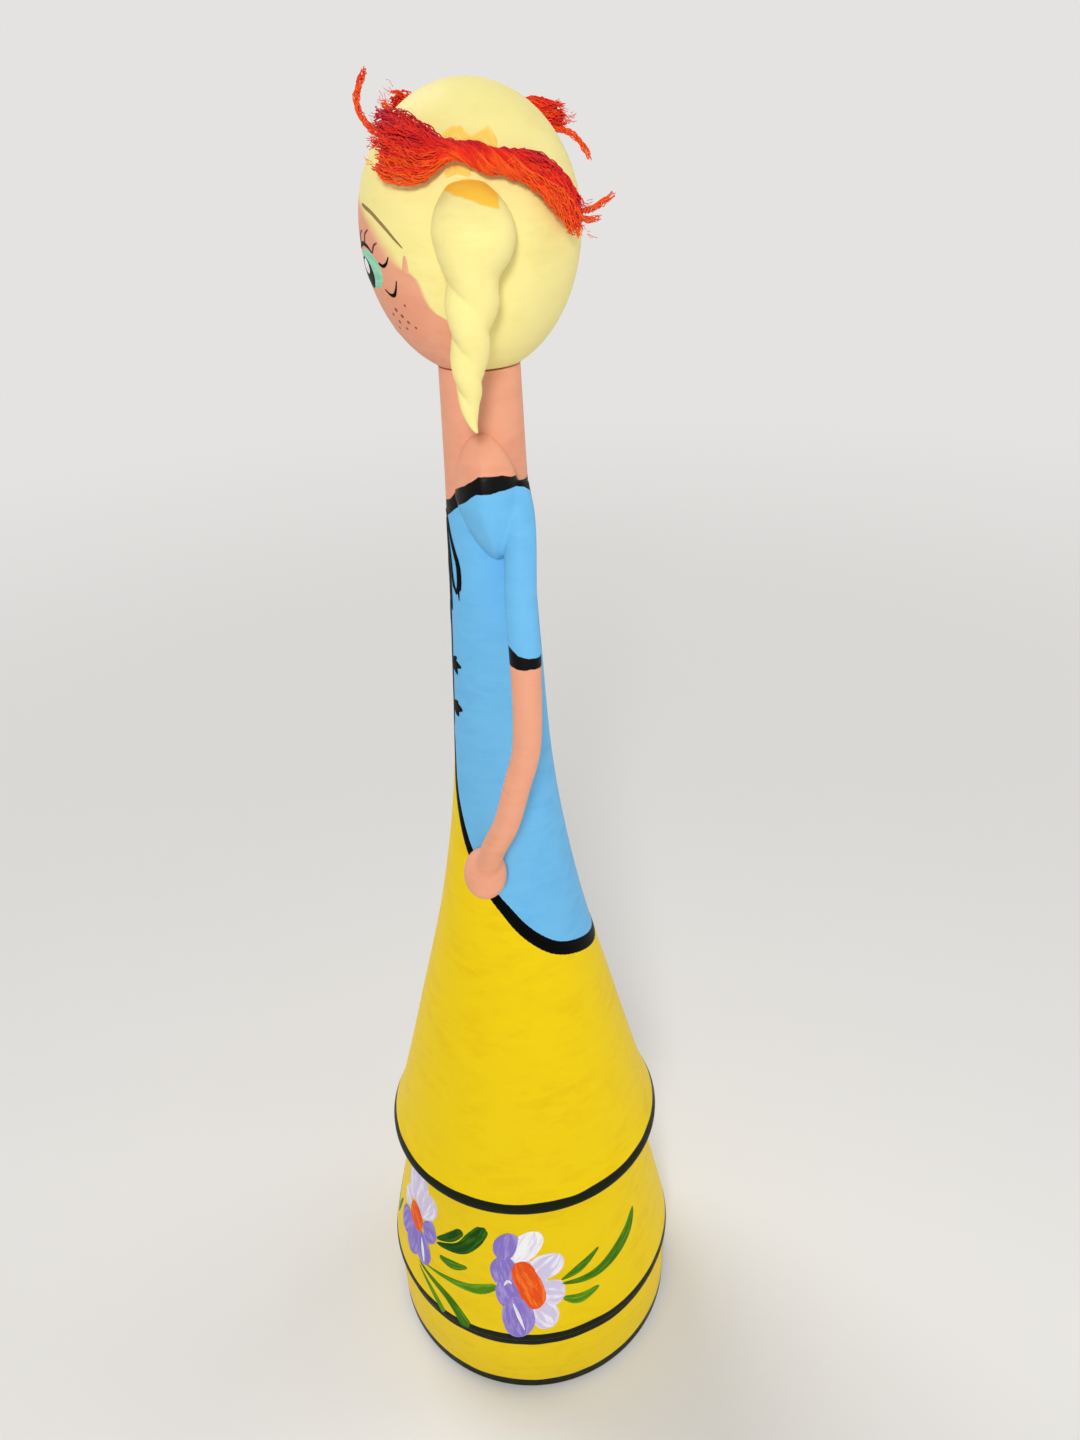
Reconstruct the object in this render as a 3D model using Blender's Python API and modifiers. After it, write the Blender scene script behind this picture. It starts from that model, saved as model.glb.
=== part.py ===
# Painted wooden folk doll: turned tiers on a dowel, an egg head that turns on a peg,
# glued arms with their hands on the hips, twisted plaits and yarn bows.
# Metres, +Z up. The origin is the middle of the foot's underside. The doll faces -Y, its left is +X.

import math

import bmesh
import bpy
from mathutils import Matrix, Vector

# Fits
SEAT_GAP = 0.0003  # air between two pieces that sit on each other
BORE_GAP = 0.0002  # air round a dowel, peg or pin in its bore

# Foot disc
FOOT_HEIGHT = 0.0172
FOOT_RADIUS = 0.0299
FOOT_EDGE_ROUND = 0.0006

# Petticoat tier
PETTICOAT_HEIGHT = 0.0362
PETTICOAT_TOP_RADIUS = 0.0226
PETTICOAT_RIM_RADIUS = 0.0305
PETTICOAT_EDGE_ROUND = 0.0008
PETTICOAT_SWELL = 0.12  # how much fuller its side is than a straight cone

# Body turning: overskirt, torso and neck, with levels measured up from its underside
RIM_RADIUS = 0.0274
RIM_ROUND = 0.0009
FLARE_LEVEL = 0.0088
FLARE_RADIUS = 0.0246
SKIRT_LEVEL = 0.0324
SKIRT_RADIUS = 0.0186
HIP_LEVEL = 0.0575
HIP_RADIUS = 0.0126
WAIST_LEVEL = 0.0826
WAIST_RADIUS = 0.0087
CHEST_LEVEL = 0.1077
CHEST_RADIUS = 0.0072
SHOULDER_LEVEL = 0.1328
SHOULDER_RADIUS = 0.0062
NECK_LEVEL = 0.1512
NECK_RADIUS = 0.0058

# Dowels and pins hidden in the joints
DOWEL_RADIUS = 0.0060
DOWEL_IN_FOOT = 0.0110
DOWEL_IN_BODY = 0.0280
PEG_RADIUS = 0.0025
PEG_IN_NECK = 0.0105
PEG_IN_HEAD = 0.0130
ARM_PIN_RADIUS = 0.0010
ARM_PIN_IN_TORSO = 0.0030
ARM_PIN_IN_ARM = 0.0030
PLAIT_PIN_RADIUS = 0.0007
PLAIT_PIN_IN_HEAD = 0.0050
PLAIT_PIN_IN_PLAIT = 0.0018

# Egg head, flat where it sits on the neck
HEAD_RADIUS = 0.0147
HEAD_CROWN_RISE = 0.0171
HEAD_CHIN_DROP = 0.0190
HEAD_SEAT_RADIUS = 0.0060

# Arms: a shoulder pad, a tapered limb and a mitten hand
SHOULDER_DROP = 0.0175  # from the neck's top down to the middle of the pad
SHOULDER_PAD = (0.0046, 0.0041, 0.0092)  # half sizes out, back and up
SHOULDER_PAD_OUT = 0.0007  # middle of the pad beyond the torso's side
SHOULDER_PAD_BACK = 0.0004
SLEEVE_RADIUS = 0.0024
ELBOW_RADIUS = 0.0023
WRIST_RADIUS = 0.0020
HAND = (0.0031, 0.0036, 0.0045)  # half sizes out, back and along the hand
HAND_TILT = math.radians(24)  # the hand lies along the flare of the hip
# Each point of the limb: beyond the body's side, towards the back, below the pad's middle
ARM_ROUTE = (
    (-0.0008, 0.0044, -0.0020),
    (0.0020, 0.0046, 0.0036),
    (0.0053, 0.0039, 0.0144),
    (0.0075, 0.0037, 0.0234),
    (0.0090, 0.0031, 0.0356),
    (0.0090, 0.0013, 0.0426),
    (0.0081, -0.0008, 0.0502),
    (0.0060, -0.0030, 0.0558),
    (0.0024, -0.0047, 0.0628),
)
SLEEVE_END = 0.0252  # cuff, below the pad's middle

# Plaits: levels measured down from the root
PLAIT_ROOT_RISE = 0.0058  # root above the head's widest level
PLAIT_LENGTH = 0.0293
PLAIT_TURNS = 1.6
PLAIT_TWIST_START = 0.0085
PLAIT_DEPTH = 0.80  # thickness over width
PLAIT_PINCH = 0.11  # how deep the groove between the two strands is
PLAIT_PIN_DROP = 0.0045
# Each point of the plait: down, beyond the head's widest radius, towards the front, half width
PLAIT_ROUTE = (
    (0.0000, -0.0012, 0.0000, 0.0022),
    (0.0022, 0.0004, 0.0000, 0.0042),
    (0.0050, 0.0013, 0.0000, 0.0051),
    (0.0080, 0.0016, 0.0000, 0.0046),
    (0.0105, 0.0016, 0.0001, 0.0038),
    (0.0135, 0.0014, 0.0005, 0.0037),
    (0.0170, 0.0011, 0.0010, 0.0030),
    (0.0205, 0.0006, 0.0014, 0.0023),
    (0.0245, 0.0002, 0.0019, 0.0017),
    (0.0278, 0.0000, 0.0021, 0.0011),
)
PLAIT_TIP = 0.0005  # half width of the blunt tip

# Yarn bows: a flat hank of yarn laid round the side of the head, pinched over the plait
BOW_HALF_THICKNESS = 0.0013
BOW_TAIL_RADIUS = 0.0006
# Each point of a bow: degrees from the front, above the head's widest level, half height, off the head
LEFT_BOW = (
    (42, 0.0088, 0.0027, 0.0003),
    (47, 0.0088, 0.0037, 0.0001),
    (60, 0.0086, 0.0035, 0.0000),
    (74, 0.0084, 0.0021, 0.0000),
    (89, 0.0087, 0.0014, 0.0000),
    (105, 0.0073, 0.0017, 0.0000),
    (119, 0.0054, 0.0026, 0.0000),
    (130, 0.0032, 0.0035, 0.0001),
    (137, 0.0022, 0.0028, 0.0004),
)
RIGHT_BOW = (
    (42, 0.0115, 0.0015, 0.0012),
    (47, 0.0113, 0.0024, 0.0010),
    (60, 0.0102, 0.0028, 0.0003),
    (74, 0.0089, 0.0020, 0.0000),
    (90, 0.0088, 0.0015, 0.0000),
    (107, 0.0086, 0.0018, 0.0000),
    (122, 0.0091, 0.0023, 0.0004),
    (136, 0.0097, 0.0023, 0.0020),
    (145, 0.0100, 0.0015, 0.0038),
)
# Each point of a loose tail: degrees from the front, beyond the widest radius, above the widest level
LEFT_TAILS = (
    ((43, -0.0018, 0.0106), (28, -0.0012, 0.0112), (18, -0.0008, 0.0138), (19, -0.0018, 0.0172)),
    ((134, 0.0004, 0.0034), (147, 0.0008, 0.0026), (156, 0.0026, 0.0033)),
)
RIGHT_TAILS = (
    ((45, -0.0024, 0.0125), (37, -0.0022, 0.0132), (31, -0.0024, 0.0141)),
    ((141, 0.0010, 0.0106), (147, 0.0030, 0.0092), (152, 0.0042, 0.0070)),
)

# Facets
BODY_SIDES = 48
HEAD_SIDES = 40
EGG_STEPS = 18  # pieces from the crown down to the seat
PIN_SIDES = 16
PLAIT_SIDES = 18
BOW_SIDES = 10
CURVE_STEPS = 3  # pieces between two chosen points of a curve
ROUND_STEPS = 3  # pieces of a rounded edge
PETTICOAT_STEPS = 8  # pieces down the petticoat's side
LIMB_ROUNDNESS = 3
OVOID_SIDES = 18
OVOID_RINGS = 12
SHARP_ANGLE = math.radians(35)  # edges sharper than this are drawn crisp
MERGE_DISTANCE = 1e-6
SLOPE_STEP = 0.0003  # how far apart the egg's slope is measured

# Colours and finish of each piece: red, green, blue, roughness
FINISHES = {
    "yellow_paint": (0.86, 0.62, 0.00, 0.50),
    "sky_blue_paint": (0.18, 0.50, 0.82, 0.50),
    "straw_hair_paint": (0.92, 0.83, 0.35, 0.50),
    "skin_paint": (0.82, 0.38, 0.23, 0.50),
    "bare_wood": (0.62, 0.42, 0.23, 0.70),
    "red_yarn": (0.76, 0.07, 0.02, 0.90),
}

# Levels worked out from the sizes above
petticoat_base = FOOT_HEIGHT + SEAT_GAP
petticoat_top = petticoat_base + PETTICOAT_HEIGHT
body_base = petticoat_top + SEAT_GAP
neck_top = body_base + NECK_LEVEL
head_seat = neck_top + SEAT_GAP
head_widest = HEAD_CHIN_DROP * math.sqrt(1 - (HEAD_SEAT_RADIUS / HEAD_RADIUS) ** 2)  # above the seat
shoulder_height = neck_top - SHOULDER_DROP


def clear_scene():
    for old in list(bpy.data.objects):
        bpy.data.objects.remove(old)


def new_collection(name, hidden=False):
    collection = bpy.data.collections.new(name)
    bpy.context.scene.collection.children.link(collection)
    collection.hide_render = hidden
    return collection


def finish(name):
    red, green, blue, roughness = FINISHES[name]
    material = bpy.data.materials.get(name) or bpy.data.materials.new(name)
    material.use_nodes = True
    shader = material.node_tree.nodes["Principled BSDF"]
    shader.inputs["Base Color"].default_value = (red, green, blue, 1)
    shader.inputs["Roughness"].default_value = roughness
    shader.inputs["Metallic"].default_value = 0
    return material


def smooth_through(points):
    """Points of a smooth curve through the chosen points, which may have any number of coordinates."""
    knots = [Vector(point) for point in points]
    first = knots[0] * 2 - knots[1]
    last = knots[-1] * 2 - knots[-2]
    knots = [first] + knots + [last]
    curve = []
    for before, start, end, after in zip(knots, knots[1:], knots[2:], knots[3:]):
        for step in range(CURVE_STEPS):
            t = step / CURVE_STEPS
            curve.append(
                (
                    start * 2
                    + (end - before) * t
                    + (before * 2 - start * 5 + end * 4 - after) * t**2
                    + (start * 3 - before - end * 3 + after) * t**3
                )
                / 2
            )
    curve.append(knots[-2])
    return curve


def at_height(curve, height):
    """Radius of a turned curve of (radius, height) points, which runs downwards, at one height."""
    for upper, lower in zip(curve, curve[1:]):
        if lower.y <= height <= upper.y:
            share = (upper.y - height) / (upper.y - lower.y)
            return upper.x + (lower.x - upper.x) * share
    return curve[0].x if height > curve[0].y else curve[-1].x


def rounded_edge(radius, height, size, start, turn):
    """Quarter round of a turned edge, about a middle set in from its corner."""
    middle = Vector((radius, height))
    arc = []
    for step in range(ROUND_STEPS + 1):
        angle = math.radians(start + turn * step / ROUND_STEPS)
        arc.append(middle + Vector((math.cos(angle), math.sin(angle))) * size)
    return arc


def add_object(name, mesh, collection, finish_name=None, parent=None):
    shape = bpy.data.objects.new(name, mesh)
    collection.objects.link(shape)
    if finish_name:
        mesh.materials.clear()
        mesh.materials.append(finish(finish_name))
        mesh.shade_smooth()
        mesh.set_sharp_from_angle(angle=SHARP_ANGLE)
    else:
        shape.hide_render = True
        shape.display_type = "WIRE"
    shape.parent = parent
    return shape


def turned(name, profile, sides, collection, finish_name=None, parent=None):
    """A profile of (radius, height) points, down its outer side, turned about the upright axis."""
    mesh = bpy.data.meshes.new(name)
    points = [(point[0], 0, point[1]) for point in profile]
    mesh.from_pydata(points, [(i, i + 1) for i in range(len(points) - 1)], [])
    shape = add_object(name, mesh, collection, finish_name, parent)
    screw = shape.modifiers.new("turning", "SCREW")
    screw.steps = sides
    screw.render_steps = sides
    screw.use_smooth_shade = True
    screw.use_merge_vertices = True
    screw.merge_threshold = MERGE_DISTANCE
    return shape


def lofted(name, rings, collection, finish_name=None, parent=None):
    """A closed skin over rings of points, with a flat face over the first and the last."""
    body = bmesh.new()
    loops = [[body.verts.new(point) for point in ring] for ring in rings]
    for upper, lower in zip(loops, loops[1:]):
        for i in range(len(upper)):
            j = (i + 1) % len(upper)
            body.faces.new((upper[i], upper[j], lower[j], lower[i]))
    body.faces.new(loops[0])
    body.faces.new(loops[-1])
    bmesh.ops.recalc_face_normals(body, faces=body.faces)
    mesh = bpy.data.meshes.new(name)
    body.to_mesh(mesh)
    body.free()
    return add_object(name, mesh, collection, finish_name, parent)


def tube(name, points, radii, collection, finish_name=None, parent=None):
    """A round limb or thread along points, as a closed mesh."""
    curve = bpy.data.curves.new(name + "_route", "CURVE")
    curve.dimensions = "3D"
    curve.bevel_depth = radii[0]
    curve.bevel_resolution = LIMB_ROUNDNESS
    curve.use_fill_caps = True
    spline = curve.splines.new("POLY")
    spline.points.add(len(points) - 1)
    for knot, point, radius in zip(spline.points, points, radii):
        knot.co = (*point, 1)
        knot.radius = radius / radii[0]
    guide = bpy.data.objects.new(name + "_route", curve)
    collection.objects.link(guide)
    graph = bpy.context.evaluated_depsgraph_get()
    mesh = bpy.data.meshes.new_from_object(guide.evaluated_get(graph))
    mesh.name = name
    place = guide.matrix_world.copy()
    bpy.data.objects.remove(guide)
    body = bmesh.new()
    body.from_mesh(mesh)
    bmesh.ops.remove_doubles(body, verts=body.verts, dist=MERGE_DISTANCE)
    bmesh.ops.recalc_face_normals(body, faces=body.faces)
    body.to_mesh(mesh)
    body.free()
    shape = add_object(name, mesh, collection, finish_name, parent)
    shape.matrix_world = place
    return shape


def ovoid(name, middle, half_sizes, tilt, collection):
    body = bmesh.new()
    turned_to = Matrix.Translation(middle) @ Matrix.Rotation(tilt, 4, "Y")
    bmesh.ops.create_uvsphere(
        body,
        u_segments=OVOID_SIDES,
        v_segments=OVOID_RINGS,
        radius=1,
        matrix=turned_to @ Matrix.Diagonal((*half_sizes, 1)),
    )
    mesh = bpy.data.meshes.new(name)
    body.to_mesh(mesh)
    body.free()
    return add_object(name, mesh, collection)


def side_pin(name, radius, inner, outer, middle, collection, finish_name=None, parent=None):
    """A round pin that lies across the doll, from inner to outer along X."""
    body = bmesh.new()
    across = Matrix.Rotation(math.pi / 2, 4, "Y")
    place = Matrix.Translation(((inner + outer) / 2, middle[0], middle[1])) @ across
    bmesh.ops.create_cone(
        body,
        cap_ends=True,
        segments=PIN_SIDES,
        radius1=radius,
        radius2=radius,
        depth=abs(outer - inner),
        matrix=place,
    )
    mesh = bpy.data.meshes.new(name)
    body.to_mesh(mesh)
    body.free()
    return add_object(name, mesh, collection, finish_name, parent)


def combine(shape, other, operation):
    step = shape.modifiers.new(operation.lower() + "_" + other.name, "BOOLEAN")
    step.operation = operation
    step.object = other
    step.solver = "EXACT"


def body_outline():
    """The outer side of the body turning, from the neck's top down to the rim."""
    stations = (
        (NECK_RADIUS, NECK_LEVEL),
        (SHOULDER_RADIUS, SHOULDER_LEVEL),
        (CHEST_RADIUS, CHEST_LEVEL),
        (WAIST_RADIUS, WAIST_LEVEL),
        (HIP_RADIUS, HIP_LEVEL),
        (SKIRT_RADIUS, SKIRT_LEVEL),
        (FLARE_RADIUS, FLARE_LEVEL),
        (RIM_RADIUS, RIM_ROUND),
    )
    outline = smooth_through(stations)
    return [Vector((point.x, body_base + point.y)) for point in outline]


def head_radius(height):
    """Radius of the egg at a height above the head's seat."""
    reach = HEAD_CROWN_RISE if height > head_widest else HEAD_CHIN_DROP
    share = min(1, abs(height - head_widest) / reach)
    return HEAD_RADIUS * math.sqrt(1 - share**2)


def egg_outline(grow):
    """The egg from its crown down to its seat, grown outwards by a clearance."""
    outline = []
    seat_angle = math.acos(HEAD_SEAT_RADIUS / HEAD_RADIUS)
    for step in range(EGG_STEPS + 1):
        angle = math.pi / 2 - (math.pi / 2 + seat_angle) * step / EGG_STEPS
        reach = HEAD_CROWN_RISE if angle > 0 else HEAD_CHIN_DROP
        radius = (HEAD_RADIUS + grow) * math.cos(angle)
        outline.append(Vector((radius, head_widest + (reach + grow) * math.sin(angle))))
    outline[0].x = 0
    return outline


def on_head(degrees, radius, height):
    """A point round the head, by its angle from the face towards the doll's left."""
    angle = math.radians(degrees)
    return Vector((radius * math.sin(angle), -radius * math.cos(angle), height))


def off_head(degrees, height, distance):
    """A point at a distance from the egg's surface, square to it."""
    above = head_radius(height + SLOPE_STEP)
    below = head_radius(height - SLOPE_STEP)
    slope = (above - below) / (2 * SLOPE_STEP)
    outwards = (on_head(degrees, 1, 0) - Vector((0, 0, slope))).normalized()
    return on_head(degrees, head_radius(height), height) + outwards * distance


def make_foot(parts):
    bore = DOWEL_RADIUS + BORE_GAP
    edge = FOOT_EDGE_ROUND
    bore_base = FOOT_HEIGHT - DOWEL_IN_FOOT - BORE_GAP
    profile = [(0, bore_base), (bore, bore_base), (bore, FOOT_HEIGHT)]
    profile += rounded_edge(FOOT_RADIUS - edge, FOOT_HEIGHT - edge, edge, 90, -90)
    profile += rounded_edge(FOOT_RADIUS - edge, edge, edge, 0, -90)
    profile += [(0, 0)]
    turned("foot_disc", profile, BODY_SIDES, parts, "yellow_paint")


def make_petticoat(parts):
    bore = DOWEL_RADIUS + BORE_GAP
    edge = PETTICOAT_EDGE_ROUND
    rim_height = petticoat_base + edge
    side = []
    for step in range(PETTICOAT_STEPS + 1):
        share = step / PETTICOAT_STEPS
        fuller = share + PETTICOAT_SWELL * share * (1 - share)
        radius = PETTICOAT_TOP_RADIUS + (PETTICOAT_RIM_RADIUS - PETTICOAT_TOP_RADIUS) * fuller
        side.append((radius, petticoat_top + (rim_height - petticoat_top) * share))
    profile = [(bore, petticoat_base), (bore, petticoat_top)] + side
    profile += rounded_edge(PETTICOAT_RIM_RADIUS - edge, rim_height, edge, 0, -90)[1:]
    profile += [(bore, petticoat_base)]
    turned("petticoat_tier", profile, BODY_SIDES, parts, "yellow_paint")


def make_body(parts, cutters):
    bore = DOWEL_RADIUS + BORE_GAP
    dowel_top = body_base + DOWEL_IN_BODY + BORE_GAP
    peg_bore = PEG_RADIUS + BORE_GAP
    peg_base = neck_top - PEG_IN_NECK - BORE_GAP
    profile = [(0, peg_base), (peg_bore, peg_base), (peg_bore, neck_top)]
    profile += body_outline()
    profile += rounded_edge(RIM_RADIUS - RIM_ROUND, body_base + RIM_ROUND, RIM_ROUND, 0, -90)[1:]
    profile += [(bore, body_base), (bore, dowel_top), (0, dowel_top)]
    body = turned("body", profile, BODY_SIDES, parts, "sky_blue_paint")
    grown = [(0, neck_top + SEAT_GAP)]
    grown += [(point.x + SEAT_GAP, point.y) for point in body_outline()]
    grown += [(0, body_base)]
    clearance = turned("body_clearance", grown, BODY_SIDES, cutters)
    return body, clearance


def make_dowel(parts):
    base = FOOT_HEIGHT - DOWEL_IN_FOOT
    top = body_base + DOWEL_IN_BODY
    profile = [(0, top), (DOWEL_RADIUS, top), (DOWEL_RADIUS, base), (0, base)]
    turned("centre_dowel", profile, BODY_SIDES, parts, "bare_wood")


def make_neck_peg(parts):
    base = neck_top - PEG_IN_NECK
    top = head_seat + PEG_IN_HEAD
    profile = [(0, top), (PEG_RADIUS, top), (PEG_RADIUS, base), (0, base)]
    turned("neck_peg", profile, HEAD_SIDES, parts, "bare_wood")


def make_head(parts, cutters, pivot):
    bore = PEG_RADIUS + BORE_GAP
    bore_top = PEG_IN_HEAD + BORE_GAP
    profile = egg_outline(0) + [(bore, 0), (bore, bore_top), (0, bore_top)]
    head = turned("head", profile, HEAD_SIDES, parts, "straw_hair_paint", pivot)
    grown = egg_outline(SEAT_GAP) + [(0, egg_outline(SEAT_GAP)[-1].y)]
    clearance = turned("head_clearance", grown, HEAD_SIDES, cutters, None, pivot)
    return head, clearance


def make_arm(side_name, side, parts, cutters, body, body_clearance):
    outline = body_outline()

    def beside(out, back, drop):
        height = shoulder_height - drop
        return Vector((side * (at_height(outline, height) + out), back, height))

    route = smooth_through([beside(*point) for point in ARM_ROUTE])
    drops = [shoulder_height - point.z for point in route]
    radii = []
    for drop in drops:
        if drop < SLEEVE_END:
            radii.append(SLEEVE_RADIUS)
        else:
            share = (drop - SLEEVE_END) / (drops[-1] - SLEEVE_END)
            radii.append(ELBOW_RADIUS + (WRIST_RADIUS - ELBOW_RADIUS) * share)
    arm = tube(side_name + "_arm", route, radii, parts, "skin_paint")
    pad_middle = beside(SHOULDER_PAD_OUT, SHOULDER_PAD_BACK, 0)
    pad = ovoid(side_name + "_shoulder_pad", pad_middle, SHOULDER_PAD, 0, cutters)
    hand = ovoid(side_name + "_hand", route[-1], HAND, -side * HAND_TILT, cutters)
    combine(arm, pad, "UNION")
    combine(arm, hand, "UNION")
    combine(arm, body_clearance, "DIFFERENCE")
    torso_side = side * SHOULDER_RADIUS
    inner = torso_side - side * ARM_PIN_IN_TORSO
    outer = torso_side + side * ARM_PIN_IN_ARM
    place = (SHOULDER_PAD_BACK, shoulder_height)
    side_pin(side_name + "_arm_pin", ARM_PIN_RADIUS, inner, outer, place, parts, "bare_wood")
    bore = side_pin(
        side_name + "_arm_bore",
        ARM_PIN_RADIUS + BORE_GAP,
        inner - side * BORE_GAP,
        outer + side * BORE_GAP,
        place,
        cutters,
    )
    combine(arm, bore, "DIFFERENCE")
    combine(body, bore, "DIFFERENCE")


def make_plait(side_name, side, parts, cutters, head, head_clearance, pivot):
    root = head_widest + PLAIT_ROOT_RISE
    stations = list(PLAIT_ROUTE) + [(PLAIT_LENGTH, *PLAIT_ROUTE[-1][1:3], PLAIT_TIP)]
    rings = []
    for down, out, front, half_width in smooth_through(stations):
        twisted = max(0, down - PLAIT_TWIST_START) / (PLAIT_LENGTH - PLAIT_TWIST_START)
        lobe = math.pi / 2 + side * twisted * PLAIT_TURNS * math.tau
        middle = Vector((side * (HEAD_RADIUS + out), -front, root - down))
        ring = []
        for step in range(PLAIT_SIDES):
            angle = math.tau * step / PLAIT_SIDES
            reach = half_width * (1 - PLAIT_PINCH + PLAIT_PINCH * math.cos(2 * (angle - lobe)))
            around = Vector((PLAIT_DEPTH * math.cos(angle), math.sin(angle), 0))
            ring.append(middle + around * reach)
        rings.append(ring)
    plait = lofted(side_name + "_plait", rings, parts, "straw_hair_paint", pivot)
    combine(plait, head_clearance, "DIFFERENCE")
    height = root - PLAIT_PIN_DROP
    surface = side * head_radius(height)
    inner = surface - side * PLAIT_PIN_IN_HEAD
    outer = surface + side * PLAIT_PIN_IN_PLAIT
    place = (-PLAIT_ROUTE[0][2], height)
    side_pin(side_name + "_plait_pin", PLAIT_PIN_RADIUS, inner, outer, place, parts, "bare_wood", pivot)
    bore = side_pin(
        side_name + "_plait_bore",
        PLAIT_PIN_RADIUS + BORE_GAP,
        inner - side * BORE_GAP,
        outer + side * BORE_GAP,
        place,
        cutters,
        None,
        pivot,
    )
    combine(plait, bore, "DIFFERENCE")
    combine(head, bore, "DIFFERENCE")


def make_bow(side_name, side, stations, tails, parts, cutters, head_clearance, pivot):
    rings = []
    for degrees, rise, half_height, off in smooth_through(stations):
        ring = []
        for corner in range(BOW_SIDES):
            angle = math.tau * corner / BOW_SIDES
            height = head_widest + rise + half_height * math.sin(angle)
            thick = SEAT_GAP + off + BOW_HALF_THICKNESS * (1 + math.cos(angle))
            ring.append(off_head(side * degrees, height, thick))
        rings.append(ring)
    bow = lofted(side_name + "_bow", rings, parts, "red_yarn", pivot)
    for number, tail in enumerate(tails):
        points = [on_head(side * turn, HEAD_RADIUS + out, head_widest + rise) for turn, out, rise in tail]
        route = smooth_through(points)
        thread = tube(f"{side_name}_bow_tail_{number}", route, [BOW_TAIL_RADIUS] * len(route), cutters)
        thread.parent = pivot
        thread.matrix_local = Matrix.Identity(4)
        combine(bow, thread, "UNION")
    combine(bow, head_clearance, "DIFFERENCE")


def main():
    clear_scene()
    parts = new_collection("folk_doll")
    cutters = new_collection("cutters", hidden=True)
    pivot = bpy.data.objects.new("head_turn", None)
    pivot.location = (0, 0, head_seat)
    parts.objects.link(pivot)
    bpy.context.view_layer.update()
    make_foot(parts)
    make_petticoat(parts)
    make_dowel(parts)
    make_neck_peg(parts)
    body, body_clearance = make_body(parts, cutters)
    head, head_clearance = make_head(parts, cutters, pivot)
    sides = (("left", 1, LEFT_BOW, LEFT_TAILS), ("right", -1, RIGHT_BOW, RIGHT_TAILS))
    for side_name, side, bow, tails in sides:
        make_arm(side_name, side, parts, cutters, body, body_clearance)
        make_plait(side_name, side, parts, cutters, head, head_clearance, pivot)
        make_bow(side_name, side, bow, tails, parts, cutters, head_clearance, pivot)


main()
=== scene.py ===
# Looks of the painted folk doll: brush paint over turned wood, moulded arms and plaits, bows of frayed yarn.
# Metres, +Z up. The doll faces -Y and its left is +X. Angles round it run from the face towards its left.
import random
from math import acos, atan2, cos, hypot, modf, pi, radians, sin, sqrt, tau

import bmesh
import bpy
from mathutils import Matrix, Vector


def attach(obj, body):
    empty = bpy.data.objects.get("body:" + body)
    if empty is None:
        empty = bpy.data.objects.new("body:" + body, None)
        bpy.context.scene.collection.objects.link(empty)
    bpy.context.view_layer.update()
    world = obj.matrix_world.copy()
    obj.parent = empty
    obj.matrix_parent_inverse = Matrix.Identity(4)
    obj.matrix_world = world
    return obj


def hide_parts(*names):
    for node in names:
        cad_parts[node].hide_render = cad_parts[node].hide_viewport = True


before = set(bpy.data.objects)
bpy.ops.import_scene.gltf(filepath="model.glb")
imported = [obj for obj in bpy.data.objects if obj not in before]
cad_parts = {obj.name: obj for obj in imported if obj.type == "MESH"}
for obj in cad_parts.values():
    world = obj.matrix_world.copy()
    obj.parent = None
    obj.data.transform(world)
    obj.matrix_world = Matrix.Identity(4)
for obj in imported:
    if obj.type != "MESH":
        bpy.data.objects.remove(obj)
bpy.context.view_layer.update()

mm = 0.001
scene = bpy.context.scene
scene.view_settings.view_transform = "Standard"


# Small helpers


def paintColor(red, green, blue):  # 0 to 255 as seen on screen, to the linear colour a shader takes
    linear = [(c / 255 / 12.92) if c < 11 else ((c / 255 + 0.055) / 1.055) ** 2.4 for c in (red, green, blue)]
    return (*linear, 1.0)


def put(kind, inputs, take=0, tree=None, **settings):  # adds a node and gives one of its outputs
    linked = [key for key, value in inputs.items() if isinstance(value, bpy.types.NodeSocket)]
    if tree is None:
        tree = inputs[linked[0]].id_data
    made = tree.nodes.new(kind)
    for name, value in settings.items():
        setattr(made, name, value)
    for key, value in inputs.items():
        if key in linked:
            tree.links.new(value, made.inputs[key])
        else:
            made.inputs[key].default_value = value
    return made.outputs[take]


def link(source, node, name):
    source.id_data.links.new(source, node.inputs[name])


def calc(operation, first, second=0.0):
    return put("ShaderNodeMath", {0: first, 1: second}, operation=operation)


def plus(first, second):
    return calc("ADD", first, second)


def minus(first, second):
    return calc("SUBTRACT", first, second)


def times(first, second):
    return calc("MULTIPLY", first, second)


def over(first, second):
    return calc("DIVIDE", first, second)


def vectorCalc(operation, first, second):
    return put("ShaderNodeVectorMath", {0: first, 1: second}, operation=operation)


def scaled(vector, factor):
    return put("ShaderNodeVectorMath", {0: vector, "Scale": factor}, operation="SCALE")


def parts(vector):  # x, y and z
    return put("ShaderNodeSeparateXYZ", {0: vector}).node.outputs


def inMetres(rows, angles=0):  # rows of millimetres, after this many columns of degrees
    return [(*row[:angles], *(value / 1000 for value in row[angles:])) for row in rows]


def smoothThrough(points, steps):  # points of a smooth curve through the chosen ones
    knots = [Vector(point) for point in points]
    knots = [knots[0] * 2 - knots[1]] + knots + [knots[-1] * 2 - knots[-2]]
    curve = []
    for before, start, end, after in zip(knots, knots[1:], knots[2:], knots[3:]):
        for step in range(steps):
            t = step / steps
            square = (before * 2 - start * 5 + end * 4 - after) * t**2
            cube = (start * 3 - before - end * 3 + after) * t**3
            curve.append((start * 2 + (end - before) * t + (square + cube)) / 2)
    return curve + [knots[-2]]


def between(table, value):  # straight lines through (given, wanted) pairs
    for (low, lowValue), (high, highValue) in zip(table, table[1:]):
        if value <= high:
            return lowValue + (highValue - lowValue) * max(0, value - low) / (high - low)
    return table[-1][1]


def turnedBy(degrees, axis):
    return Matrix.Rotation(radians(degrees), 4, axis)


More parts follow.
